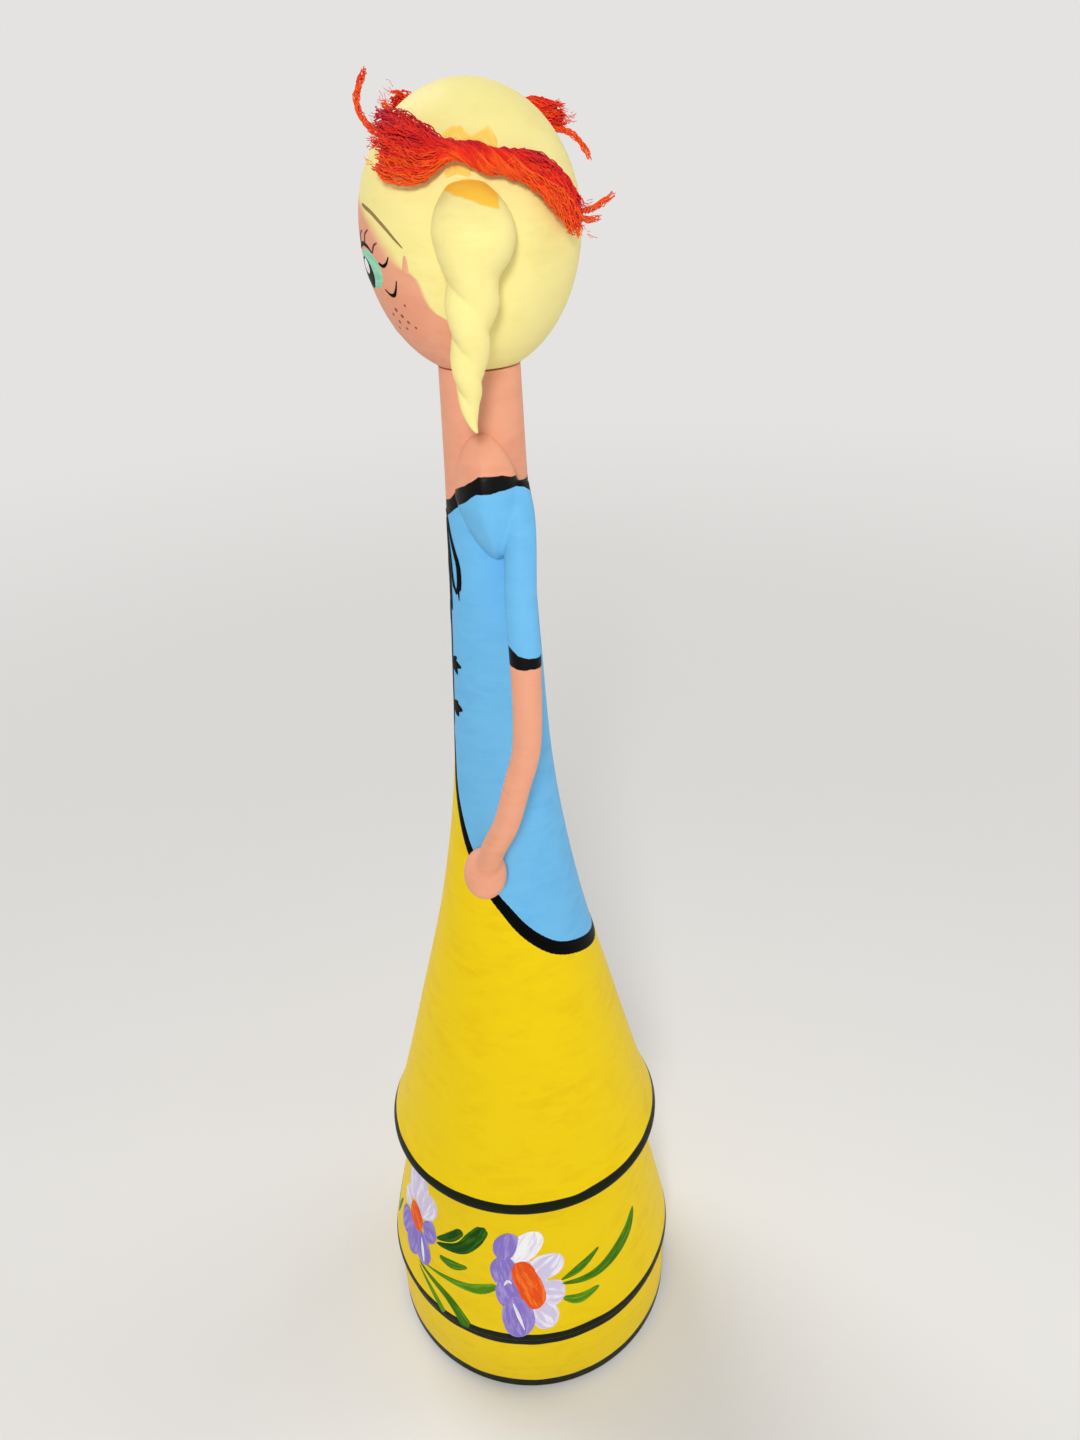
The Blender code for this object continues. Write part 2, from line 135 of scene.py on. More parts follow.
def newObject(name, mesh):
    made = bpy.data.objects.new(name, mesh)
    scene.collection.objects.link(made)
    return made


def plainMesh(made, sharpAngle=180):  # the evaluated shape as a plain mesh, closed and facing out
    graph = bpy.context.evaluated_depsgraph_get()
    mesh = bpy.data.meshes.new_from_object(made.evaluated_get(graph))
    made.modifiers.clear()
    made.data = mesh
    tidy = bmesh.new()
    tidy.from_mesh(mesh)
    bmesh.ops.recalc_face_normals(tidy, faces=tidy.faces)
    tidy.to_mesh(mesh)
    tidy.free()
    mesh.shade_smooth()
    mesh.set_sharp_from_angle(angle=radians(sharpAngle))
    return made


def coverRings(shape, rings):  # walls from ring to ring, and both ends closed
    for upper, lower in zip(rings, rings[1:]):
        for i in range(len(upper)):
            j = (i + 1) % len(upper)
            shape.faces.new((upper[i], upper[j], lower[j], lower[i]))
    shape.faces.new(rings[0])
    shape.faces.new(rings[-1])


def mouldedPiece(name, shape, material, modifiers):  # a shape of closed skins, finished by its modifiers
    bmesh.ops.recalc_face_normals(shape, faces=shape.faces)
    mesh = bpy.data.meshes.new(name)
    shape.to_mesh(mesh)
    shape.free()
    made = newObject(name, mesh)
    for kind, settings in modifiers.items():
        modifier = made.modifiers.new(kind, kind)
        for setting, value in settings.items():
            setattr(modifier, setting, value)
    plainMesh(made)
    made.data.materials.clear()
    made.data.materials.append(material)
    return made


# Geometry node trees


def newTree(name, inputs):
    tree = bpy.data.node_groups.new(name, "GeometryNodeTree")
    tree.interface.new_socket(name="Geometry", in_out="OUTPUT", socket_type="NodeSocketGeometry")
    for label, kind, default in [("Geometry", "Geometry", None)] + inputs + [("Material", "Material", None)]:
        socket = tree.interface.new_socket(name=label, in_out="INPUT", socket_type="NodeSocket" + kind)
        if default is not None:
            socket.default_value = default
    return tree, tree.nodes.new("NodeGroupInput").outputs


def endTree(tree, want, geometry):  # every tree ends the same way
    real = put("GeometryNodeRealizeInstances", {0: geometry})
    painted = put("GeometryNodeSetMaterial", {"Geometry": real, "Material": want["Material"]})
    link(painted, tree.nodes.new("NodeGroupOutput"), 0)
    return tree


def nodePiece(name, mesh, tree, values, sharpAngle=180):  # shaped by a tree, inputs set by identifier
    made = newObject(name, mesh)
    modifier = made.modifiers.new(tree.name, "NODES")
    modifier.node_group = tree
    for socket in tree.interface.items_tree:
        if socket.item_type == "SOCKET" and socket.in_out == "INPUT" and socket.name in values:
            modifier[socket.identifier] = values[socket.name]
    return plainMesh(made, sharpAngle)


def turningTree():  # a profile of points in the XZ plane, turned about the upright axis
    tree, want = newTree("turning", [("Sides", "Int", 128)])
    profile = want["Geometry"]
    count = put("GeometryNodeAttributeDomainSize", {0: profile}, "Point Count", component="MESH")
    grid = put("GeometryNodeMeshGrid", {"Vertices X": plus(want["Sides"], 1), "Vertices Y": count})
    index = put("GeometryNodeInputIndex", {}, tree=tree)
    column = calc("FLOOR", over(index, count))
    place = put("GeometryNodeInputPosition", {}, tree=tree)
    sampled = {"Geometry": profile, 1: place, "Index": calc("MODULO", index, count)}
    point = parts(put("GeometryNodeSampleIndex", sampled, data_type="FLOAT_VECTOR", domain="POINT"))
    angle = times(over(column, want["Sides"]), tau)
    across = times(point[0], calc("SINE", angle))
    along = times(point[0], calc("COSINE", angle))
    turned = put("ShaderNodeCombineXYZ", {0: across, 1: along, 2: point[2]})
    moved = put("GeometryNodeSetPosition", {"Geometry": grid, "Position": turned})
    return endTree(tree, want, put("GeometryNodeMergeByDistance", {"Geometry": moved, "Distance": 1e-6}))


def wrapTree():  # a flat plan of angle, lift and height, laid on a turned piece from outside
    tree, want = newTree("paintWrap", [("Surface", "Object", None), ("Reach", "Float", 0.06)])
    angle, lift, height = parts(put("GeometryNodeInputPosition", {}, tree=tree))
    outwards = put("ShaderNodeCombineXYZ", {0: calc("SINE", angle), 1: times(calc("COSINE", angle), -1)})
    level = put("ShaderNodeCombineXYZ", {2: height})
    ray = {
        "Target Geometry": put("GeometryNodeObjectInfo", {"Object": want["Surface"]}, "Geometry"),
        "Source Position": vectorCalc("ADD", level, scaled(outwards, want["Reach"])),
        "Ray Direction": scaled(outwards, -1.0),
        "Ray Length": want["Reach"],
    }
    hit = put("GeometryNodeRaycast", ray).node.outputs
    laid = vectorCalc("ADD", hit["Hit Position"], scaled(hit["Hit Normal"], lift))
    moved = put("GeometryNodeSetPosition", {"Geometry": want["Geometry"], "Position": laid})
    return endTree(tree, want, moved)


fibreSizes = {
    "Fibre radius": 0.0001,
    "Ply radius": 0.0004,
    "Twist": 800.0,  # radians a metre
    "Crimp": 0.0003,
    "Crimp scale": 800.0,
    "Step": 0.00046,
    "Fray": 0.06,
    "Seed": 4.0,
}


def yarnTree():  # each guide line becomes a ply of twisted, crimped fibres with uneven ends
    inputs = [("Fibres", "Int", 7)] + [(label, "Float", value) for label, value in fibreSizes.items()]
    tree, want = newTree("yarnPlies", inputs)

    def ofPly(name):  # what the guide line says of its ply
        return put("GeometryNodeInputNamedAttribute", {"Name": name}, tree=tree, data_type="FLOAT")

    ply = ofPly("plySeed")
    spread = ofPly("plySpread")
    guides = put("GeometryNodeMeshToCurve", {0: want["Geometry"]})
    even = put("GeometryNodeResampleCurve", {"Curve": guides, "Length": want["Step"]}, mode="LENGTH")
    several = {"Geometry": even, "Amount": want["Fibres"]}
    copies = put("GeometryNodeDuplicateElements", several, domain="SPLINE")
    number = copies.node.outputs["Duplicate Index"]
    key = put("ShaderNodeCombineXYZ", {0: ply, 1: number, 2: want["Seed"]})
    chance = put("ShaderNodeTexWhiteNoise", {"Vector": key}, "Value", noise_dimensions="3D")
    length = put("GeometryNodeSplineParameter", {}, "Length", tree)
    normal = put("GeometryNodeInputNormal", {}, tree=tree)
    side = vectorCalc("CROSS_PRODUCT", put("GeometryNodeInputTangent", {}, tree=tree), normal)
    start = times(plus(over(number, want["Fibres"]), ply), tau)
    phase = plus(start, times(length, want["Twist"]))
    reach = times(times(want["Ply radius"], plus(times(chance, 0.9), 0.45)), spread)
    upwards = scaled(normal, times(calc("COSINE", phase), reach))
    ring = vectorCalc("ADD", upwards, scaled(side, times(calc("SINE", phase), reach)))
    place = put("GeometryNodeInputPosition", {}, tree=tree)
    shift = times(plus(chance, ply), 40.0)
    noise = {"Vector": place, "W": shift, "Scale": want["Crimp scale"], "Detail": 1.0}
    kinks = put("ShaderNodeTexNoise", noise, "Color", noise_dimensions="4D")
    kinks = vectorCalc("SUBTRACT", kinks, (0.5, 0.5, 0.5))
    crimp = scaled(kinks, times(times(want["Crimp"], 2), spread))
    fibres = put("GeometryNodeSetPosition", {"Geometry": copies, "Offset": vectorCalc("ADD", ring, crimp)})
    early = times(chance, want["Fray"])
    late = minus(1.0, times(calc("FRACT", times(chance, 7.13)), want["Fray"]))
    cut = put("GeometryNodeTrimCurve", {"Curve": fibres, "Start": early, "End": late}, mode="FACTOR")
    tint = plus(times(ofPly("plyTint"), 0.75), times(chance, 0.25))
    stored = {"Geometry": cut, "Name": "fibreTint", "Value": tint}
    dyed = put("GeometryNodeStoreNamedAttribute", stored, data_type="FLOAT", domain="POINT")
    circle = {"Resolution": 4, "Radius": want["Fibre radius"]}
    section = put("GeometryNodeCurvePrimitiveCircle", circle, mode="RADIUS")
    tubes = put("GeometryNodeCurveToMesh", {"Curve": dyed, "Profile Curve": section, "Fill Caps": True})
    return endTree(tree, want, tubes)


turning = turningTree()
paintWrap = wrapTree()
yarnPlies = yarnTree()
print("node trees built")


# Finishes

colors = {
    "yellow": (243, 209, 8),
    "yellowDeep": (236, 197, 2),
    "blue": (113, 189, 236),
    "blueDeep": (102, 180, 230),
    "skin": (236, 166, 134),
    "skinDeep": (228, 154, 122),
    "blush": (226, 122, 100),
    "hair": (247, 234, 154),
    "hairDeep": (241, 226, 142),
    "ochre": (254, 202, 70),
    "line": (4, 4, 4),
    "green": (14, 21, 3),
    "wood": (206, 168, 118),
    "woodDeep": (168, 124, 78),
}
paintSkin = {"ridges": 0.55, "stipple": 0.45, "swells": 0.9, "depth": 0.00009, "roughness": (0.36, 0.54)}


def paint(name):
    return paintColor(*colors[name])


def newFinish(name, roughness, specular=0.1):
    material = bpy.data.materials.new(name)
    material.use_nodes = True
    shader = material.node_tree.nodes["Principled BSDF"]
    shader.inputs["Roughness"].default_value = roughness
    shader.inputs["Specular IOR Level"].default_value = specular
    return material, shader, put("ShaderNodeTexCoord", {}, "Object", material.node_tree)


def cloud(where, scale, detail=3.0, rough=0.55):  # soft noise, stretched where three scales are given
    if isinstance(scale, tuple):
        where = vectorCalc("MULTIPLY", where, scale)
        scale = 1.0
    return put("ShaderNodeTexNoise", {"Vector": where, "Scale": scale, "Detail": detail, "Roughness": rough})


def wander(where, scale, detail, reach):  # noise to either side of nought
    return times(minus(cloud(where, scale, detail), 0.5), reach)


def blendColor(share, first, second):
    return put("ShaderNodeMix", {0: share, 6: first, 7: second}, 2, data_type="RGBA")


def ramp(value, low, high):  # 0 below low, 1 above high, smooth between
    wanted = {"Value": value, "From Min": low, "From Max": high, "To Min": 0.0, "To Max": 1.0}
    return put("ShaderNodeMapRange", wanted, interpolation_type="SMOOTHSTEP")


def above(value, level, soft):
    return ramp(minus(value, level), -soft, soft)


def curveValue(value, points):  # straight lines through (input, output) points
    lowIn, highIn = points[0][0], points[-1][0]
    lowOut = min(point[1] for point in points)
    highOut = max(point[1] for point in points)
    share = put("ShaderNodeMapRange", {"Value": value, "From Min": lowIn, "From Max": highIn})
    drawn = put("ShaderNodeFloatCurve", {"Value": share})
    line = drawn.node.mapping.curves[0].points
    wide, tall = highIn - lowIn, highOut - lowOut
    spots = [((given - lowIn) / wide, (wanted - lowOut) / tall) for given, wanted in points]
    line[0].location = spots[0]
    for spot in spots[1:-1]:
        line.new(*spot)
    line[-1].location = spots[-1]
    for point in line:
        point.handle_type = "VECTOR"
    drawn.node.mapping.update()
    return put("ShaderNodeMapRange", {"Value": drawn, "To Min": lowOut, "To Max": highOut})


def aroundAxis(where):  # degrees from the face, without sign, and the height in millimetres
    x, y, z = parts(where)
    angle = calc("ARCTAN2", x, times(y, -1.0))
    return calc("ABSOLUTE", times(angle, 180 / pi)), times(z, 1000.0)


def brushed(where, name):  # faint brush strokes and thin spots in one colour of paint
    strokes = cloud(where, (170, 170, 520), 4.0, 0.6)
    share = times(ramp(strokes, 0.36, 0.72), ramp(cloud(where, 110.0), 0.28, 0.74))
    return blendColor(share, paint(name), paint(name + "Deep"))


def coats(color, height, soft, *edges):  # each coat covers what lies above its edge
    for against, points, coat in edges:
        color = blendColor(above(height, curveValue(against, points), soft), color, coat)
    return color


def growthRings(where, scale, distortion, detailScale=1.0):
    wanted = {"Vector": where, "Scale": scale, "Distortion": distortion, "Detail": 3.0}
    wanted["Detail Scale"] = detailScale
    return put("ShaderNodeTexWave", wanted, "Fac", wave_type="RINGS", rings_direction="Z")


def relief(height, shader, strength, depth):
    link(put("ShaderNodeBump", {"Strength": strength, "Distance": depth, "Height": height}), shader, "Normal")


def paintFinish(name, pattern, strength=1.0):  # satin paint with brush ridges and a stippled skin
    material, shader, where = newFinish(name, 0.45)
    link(pattern(where), shader, "Base Color")
    ridges = cloud(where, (220, 220, 1300), 3.0, 0.6)
    stipple = cloud(where, 1150.0, 2.0, 0.5)
    swells = cloud(where, 260.0, 2.0, 0.5)
    height = plus(times(ridges, paintSkin["ridges"]), times(stipple, paintSkin["stipple"]))
    relief(plus(height, times(swells, paintSkin["swells"])), shader, strength, paintSkin["depth"])
    low, high = paintSkin["roughness"]
    gloss = {"Value": stipple, "From Min": 0.25, "From Max": 0.75, "To Min": low, "To Max": high}
    link(put("ShaderNodeMapRange", gloss), shader, "Roughness")
    return material


def woodFinish(name):  # bare turned wood: growth rings about the axis and fine pores
    material, shader, where = newFinish(name, 0.7, 0.3)
    bent = put("ShaderNodeCombineXYZ", {0: cloud(where, 60.0)})
    rings = growthRings(vectorCalc("ADD", where, scaled(bent, 0.004)), 220.0, 2.0, 1.5)
    pores = cloud(where, (2600, 2600, 160), 2.0)
    tone = plus(times(rings, 0.6), times(pores, 0.5))
    link(blendColor(tone, paint("wood"), paint("woodDeep")), shader, "Base Color")
    relief(pores, shader, 0.6, 0.00005)
    return material


# Turned pieces

size = {
    "sides": 160,
    "seatGap": 0.0003,
    "boreGap": 0.0002,
    "footHeight": 0.0172,
    "footRadius": 0.0299,
    "footEdge": 0.0006,
    "petticoatHeight": 0.0362,
    "petticoatTop": 0.0226,
    "petticoatRim": 0.0305,
    "petticoatEdge": 0.0008,
    "petticoatSwell": 0.12,
    "petticoatSteps": 40,
    "rimRadius": 0.0274,
    "rimRound": 0.0005,
    "bodyStations": (  # radius and height above the body's base
        (0.0058, 0.1512), (0.0062, 0.1328), (0.0072, 0.1077), (0.0087, 0.0826),
        (0.0126, 0.0575), (0.0186, 0.0324), (0.0246, 0.0088), (0.0274, 0.0009),
    ),
    "dowelRadius": 0.0060,
    "dowelInFoot": 0.0110,
    "dowelInBody": 0.0280,
    "pegRadius": 0.0025,
    "pegInNeck": 0.0105,
    "pegInHead": 0.0130,
    "headRadius": 0.0147,
    "headSteps": 64,
    "crownRise": 0.0171,
    "chinDrop": 0.0190,
    "headSeat": 0.0060,
}
petticoatBase = size["footHeight"] + size["seatGap"]
petticoatTop = petticoatBase + size["petticoatHeight"]
bodyBase = petticoatTop + size["seatGap"]
neckTop = bodyBase + size["bodyStations"][0][1]
headBase = neckTop + size["seatGap"]
headWidest = headBase + size["chinDrop"] * sqrt(1 - (size["headSeat"] / size["headRadius"]) ** 2)
dowelBore = size["dowelRadius"] + size["boreGap"]
pegBore = size["pegRadius"] + size["boreGap"]
bodySide = [(point.x, bodyBase + point.y) for point in smoothThrough(size["bodyStations"], 10)]
bodyHeights = [(height, radius) for radius, height in reversed(bodySide)]


def roundedEdge(radius, height, edge, start, steps=6):  # quarter round of a turned edge, from outside down
    arc = []
    for step in range(steps + 1):
        angle = radians(start - 90 * step / steps)
        arc.append((radius - edge + cos(angle) * edge, height + sin(angle) * edge))
    return arc


def footProfile():
    edge = size["footEdge"]
    boreBase = size["footHeight"] - size["dowelInFoot"] - size["boreGap"]
    profile = [(0, boreBase), (dowelBore, boreBase), (dowelBore, size["footHeight"])]
    profile += roundedEdge(size["footRadius"], size["footHeight"] - edge, edge, 90)
    profile += roundedEdge(size["footRadius"], edge, edge, 0)
    return profile + [(0.02, 0), (0.01, 0), (0, 0)]


def petticoatRadius(height):
    rimHeight = petticoatBase + size["petticoatEdge"]
    share = min(1, max(0, (petticoatTop - height) / (petticoatTop - rimHeight)))
    fuller = share + size["petticoatSwell"] * share * (1 - share)
    return size["petticoatTop"] + (size["petticoatRim"] - size["petticoatTop"]) * fuller


def petticoatProfile():
    edge = size["petticoatEdge"]
    rimHeight = petticoatBase + edge
    steps = size["petticoatSteps"]
    heights = [petticoatTop + (rimHeight - petticoatTop) * step / steps for step in range(steps + 1)]
    profile = [(dowelBore, petticoatBase), (dowelBore, petticoatTop)]
    profile += [(petticoatRadius(height), height) for height in heights]
    return profile + roundedEdge(size["petticoatRim"], rimHeight, edge, 0)[1:] + [(dowelBore, petticoatBase)]


def bodyRadius(height):
    return between(bodyHeights, height)


def bodyProfile():
    edge = size["rimRound"]
    pegBase = neckTop - size["pegInNeck"] - size["boreGap"]
    dowelTop = bodyBase + size["dowelInBody"] + size["boreGap"]
    profile = [(0, pegBase), (pegBore, pegBase), (pegBore, neckTop)] + bodySide
    profile += roundedEdge(size["rimRadius"], bodyBase + edge, edge, 0)[1:]
    return profile + [(dowelBore, bodyBase), (dowelBore, dowelTop), (0, dowelTop)]


def headRadius(height):
    reach = size["crownRise"] if height > headWidest else size["chinDrop"]
    return size["headRadius"] * sqrt(max(0, 1 - ((height - headWidest) / reach) ** 2))


def headProfile():
    seatAngle = acos(size["headSeat"] / size["headRadius"])
    profile = []
    for step in range(size["headSteps"] + 1):
        angle = pi / 2 - (pi / 2 + seatAngle) * step / size["headSteps"]
        reach = size["crownRise"] if angle > 0 else size["chinDrop"]
        profile.append((size["headRadius"] * cos(angle), headWidest + reach * sin(angle)))
    profile[0] = (0, profile[0][1])
    boreTop = headBase + size["pegInHead"] + size["boreGap"]
    return profile + [(pegBore, headBase), (pegBore, boreTop), (0, boreTop)]


def turnedPiece(name, profile, material, sides=size["sides"], sharpAngle=40):
    mesh = bpy.data.meshes.new(name)
    mesh.from_pydata([(radius, 0, height) for radius, height in profile], [], [])
    return nodePiece(name, mesh, turning, {"Sides": sides, "Material": material}, sharpAngle)


# Paint plan of the body: heights in millimetres against degrees from the front
bodyPaint = {
    "hem": (
        (0, 147.2), (3, 146.2), (6, 144.2), (10, 140.9), (13, 138.3), (19, 135.4), (26, 132.8),
        (35, 129.6), (44, 126.5), (55, 123.3), (64, 120.7), (73, 117.9), (82.5, 115.4), (92, 112.5),
        (104, 109.4), (120, 106.2), (141, 103.7), (166, 101.2), (180, 100.7), (186, 100.7),
    ),
    "hemHalfWidths": (
        0.50, 0.52, 0.55, 0.60, 0.64, 0.68, 0.72, 0.78, 0.82, 0.88,
        0.95, 1.02, 1.10, 1.18, 1.26, 1.34, 1.40, 1.40, 1.40, 1.40,
    ),
    "necklineTop": (
        (0, 185.6), (25, 186.7), (48, 188.6), (72, 190.5), (90, 190.8),
        (105, 190.4), (120, 189.9), (132, 189.5), (150, 189.1), (180, 188.9),
    ),
    "necklineBottom": (
        (0, 183), (23, 184.3), (47, 186.1), (72, 188.1), (90, 188.5),
        (105, 188.3), (120, 187.9), (132, 187.7), (150, 187.2), (180, 187),
    ),
    # the skirt's dark green rim line reaches higher than its paint: painted shade for the shadow under the
    # overhanging rim
    "rimLineAndUnderShade": 56.5,
    "wobble": 1.0,
    "waver": 0.7,
}


def dressPattern(where):
    degrees, height = aroundAxis(where)
    shaken = plus(height, wander(where, 330.0, 2.0, bodyPaint["wobble"]))
    rim = plus(height, wander(where, 120.0, 1.0, bodyPaint["waver"]))
    # dark green rim line, widened upwards as painted shade under the overhanging rim
    color = blendColor(above(rim, bodyPaint["rimLineAndUnderShade"], 0.07), paint("green"), brushed(where, "yellow"))
    color = coats(color, height, 0.05, (degrees, bodyPaint["hem"], brushed(where, "blue")))
    trim = (degrees, bodyPaint["necklineBottom"], paint("line"))
    return coats(color, shaken, 0.06, trim, (degrees, bodyPaint["necklineTop"], brushed(where, "skin")))


# Dark green lines along the tiers' lower edges and over the joint of foot and petticoat, in millimetres
# the foot's lower line reaches higher than its paint: painted contact shadow where the foot meets the floor
tierPaint = {"footLineAndFloorShade": 2.6, "jointLine": 15.6, "petticoatLine": 19.7, "waver": 0.8, "soft": 0.08}


def tierPattern(where, line):
    shaken = plus(aroundAxis(where)[1], wander(where, 130.0, 1.0, tierPaint["waver"]))
    aboveLine = above(shaken, tierPaint[line], tierPaint["soft"])
    return blendColor(aboveLine, paint("green"), brushed(where, "yellow")), shaken


def petticoatPattern(where):
    return tierPattern(where, "petticoatLine")[0]


def footPattern(where):  # its underside is bare end grain
    # dark green line at the foot's lower edge, widened upwards as painted contact shadow at the floor
    color, shaken = tierPattern(where, "footLineAndFloorShade")
    color = blendColor(above(shaken, tierPaint["jointLine"], tierPaint["soft"]), color, paint("green"))
    grain = blendColor(growthRings(where, 160.0, 3.0), paint("wood"), paint("woodDeep"))
    return blendColor(minus(1.0, ramp(aroundAxis(where)[1], 0.02, 0.12)), color, grain)


# Paint plan of the head: how far round the face reaches, in degrees, against the height in millimetres
facePaint = {
    "edge": (
        (205.5, 80), (209, 80), (211.2, 77), (212.4, 74.5), (213.1, 72), (213.5, 69), (214, 65), (214.8, 62),
        (216, 60.7), (217.3, 59.6), (218.2, 58.5), (218.9, 54.5), (219.4, 49.5), (220.3, 45.5), (221.4, 42),
        (222.7, 37), (224.2, 30), (226, 18), (227, 6), (227.4, 0), (240, -40),
    ),
    "softness": ((205, 1.3), (218.4, 1.3), (220.4, 6), (226, 8), (240, 8)),  # degrees
    "wander": 5.0,
    "blushAt": (44.0, 213.6),
    "blushSpread": (17.0, 3.6),
    "blushEdge": (0.1, 1.3),
    "blushShare": 0.2,
}


def headPattern(where):
    place = aroundAxis(where)
    degrees, height = place
    edge = plus(curveValue(height, facePaint["edge"]), wander(where, 300.0, 3.0, facePaint["wander"]))
    inFace = ramp(over(minus(edge, degrees), curveValue(height, facePaint["softness"])), -1.0, 1.2)
    blush = zip(place, facePaint["blushAt"], facePaint["blushSpread"])
    away = [over(minus(value, middle), reach) for value, middle, reach in blush]
    spread = plus(times(away[0], away[0]), times(away[1], away[1]))
    rosy = times(minus(1.0, ramp(spread, *facePaint["blushEdge"])), facePaint["blushShare"])
    face = blendColor(rosy, brushed(where, "skin"), paint("blush"))
    return blendColor(inFace, brushed(where, "hair"), face)


foot = turnedPiece("turnedFoot", footProfile(), paintFinish("footPaint", footPattern))
tierFinish = paintFinish("petticoatPaint", petticoatPattern)
petticoat = turnedPiece("turnedPetticoat", petticoatProfile(), tierFinish)
body = turnedPiece("turnedBody", bodyProfile(), paintFinish("dressPaint", dressPattern))
head = turnedPiece("turnedHead", headProfile(), paintFinish("hairAndFacePaint", headPattern))
print("turned pieces made")


# Arms

armShape = {
    "shoulderDrop": 0.0175,
    # the pad wraps the body: how far it stands out and sinks in, its reach and lean in degrees
    "padHalfHeight": 0.0092,
    "padOut": 0.0053,
    "padIn": 0.0024,
    "padAngle": 84.0,
    "padForward": 44.0,
    "padBackward": 42.0,
    "padTaper": 0.35,  # share of the forward reach that is lost at the pad's foot
    "padRidge": 0.9,
    "padLean": 10.0,
    "sleeve": 0.0024,
    "elbow": 0.0023,
    "wrist": 0.0020,
    "sleeveEnd": 0.0252,
    "hand": (0.0031, 0.0036, 0.0045),
    "handTilt": 24,
    # millimetres beyond the body's side, towards the back, below the pad's middle
    "route": (
        (0.4, 3.4, -2), (2.6, 4, 3.6), (5.4, 3.5, 14.4), (7.5, 3.6, 23.4), (9, 3.1, 35.6),
        (9, 1.3, 42.6), (8.1, -0.8, 50.2), (6, -3, 55.8), (2.4, -4.7, 62.8),
    ),
    "farForward": 0.0007,  # the right arm sits this much nearer the front
    "blend": {
        "REMESH": {"mode": "VOXEL", "voxel_size": 0.00024},
        "SMOOTH": {"iterations": 6, "factor": 0.5},
    },
    # paint, in millimetres: the trim over the shoulder and the slanting cuff
    "trimTop": (
        (0, 185.6), (25, 186.7), (48, 188.6), (70, 190.6), (82, 192), (91, 192), (101, 191.9), (108, 191.5),
        (118, 191), (126, 190.5), (133, 189.9), (140, 189.4), (150, 189.1), (180, 188.9),
    ),
    "trimBottom": (
        (0, 183), (23, 184.3), (47, 186.1), (70, 188.2), (80, 189.6), (90, 189.7), (100, 190.1), (112, 190),
        (119, 189.6), (126, 188.9), (133, 188.1), (142, 187.4), (150, 187.2), (180, 187),
    ),
    "cuffTop": ((0, 168.3), (1.6, 167.6), (2.5, 166.8), (4, 166.4), (7, 166.1)),
    "cuffBottom": ((0, 165.1), (7, 164.4)),
    "wobble": 0.8,
}


def armPattern(where):
    back = times(parts(where)[1], 1000.0)
    degrees, height = aroundAxis(where)
    shaken = plus(height, wander(where, 330.0, 2.0, armShape["wobble"]))
    skin = brushed(where, "skin")
    cuff = (back, armShape["cuffBottom"], paint("line"))
    sleeve = (back, armShape["cuffTop"], brushed(where, "blue"))
    trim = (degrees, armShape["trimBottom"], paint("line"))
    return coats(skin, shaken, 0.06, cuff, sleeve, trim, (degrees, armShape["trimTop"], skin))


def shoulderPad(shape, side, shoulder, forward):  # an ovoid bent round the body, easing off towards the front
    ball = bmesh.ops.create_uvsphere(shape, u_segments=72, v_segments=40, radius=1)
    for vert in ball["verts"]:
        out, aside, up = vert.co
        below = min(0, up)
        turn = abs(atan2(aside, out))
        ease = sin(turn)
        if aside < 0 and out > 0:
            ease += (1 - cos(turn) - ease) * armShape["padRidge"]
        reach = -armShape["padBackward"]
        if aside < 0:
            reach = armShape["padForward"] * (1 + armShape["padTaper"] * below)
        swing = armShape["padLean"] * below + reach * ease * hypot(out, aside)
        angle = radians(armShape["padAngle"] - swing)
        height = shoulder + armShape["padHalfHeight"] * up
        radius = bodyRadius(height) + out * (armShape["padOut"] if out > 0 else armShape["padIn"])
        vert.co = (side * radius * sin(angle), -radius * cos(angle) - forward, height)


def limb(shape, route, radii, sides=28):  # a round limb along a route, with blunt ends
    rings = []
    for number, (point, radius) in enumerate(zip(route, radii)):
        ahead = (route[min(number + 1, len(route) - 1)] - route[max(number - 1, 0)]).normalized()
        across = ahead.cross(Vector((0, 1, 0))).normalized()
        other = across.cross(ahead)
        turns = [tau * step / sides for step in range(sides)]
        spots = [point + (across * cos(turn) + other * sin(turn)) * radius for turn in turns]
        rings.append([shape.verts.new(spot) for spot in spots])
    coverRings(shape, rings)


def mouldedArm(name, side, material):
    shoulder = neckTop - armShape["shoulderDrop"]
    forward = 0 if side > 0 else armShape["farForward"]

    def beside(out, back, drop):
        return Vector((side * (bodyRadius(shoulder - drop) + out), back - forward, shoulder - drop))

    route = smoothThrough([beside(*point) for point in inMetres(armShape["route"])], 6)
    sleeveEnd = armShape["sleeveEnd"]
    radii = []
    for point in route:
        drop = shoulder - point.z
        share = max(0, drop - sleeveEnd) / (shoulder - route[-1].z - sleeveEnd)
        bare = armShape["elbow"] + (armShape["wrist"] - armShape["elbow"]) * share
        radii.append(armShape["sleeve"] if drop < sleeveEnd else bare)
    shape = bmesh.new()
    limb(shape, route, radii)
    shoulderPad(shape, side, shoulder, forward)
    tilt = turnedBy(-side * armShape["handTilt"], "Y")
    hand = Matrix.Translation(route[-1]) @ tilt @ Matrix.Diagonal((*armShape["hand"], 1))
    bmesh.ops.create_uvsphere(shape, u_segments=48, v_segments=32, radius=1, matrix=hand)
    return mouldedPiece(name, shape, material, armShape["blend"])


armPaint = paintFinish("sleeveAndSkinPaint", armPattern, 0.8)
leftArm = mouldedArm("leftMouldedArm", 1, armPaint)
rightArm = mouldedArm("rightMouldedArm", -1, armPaint)
print("arms made")


# Plaits

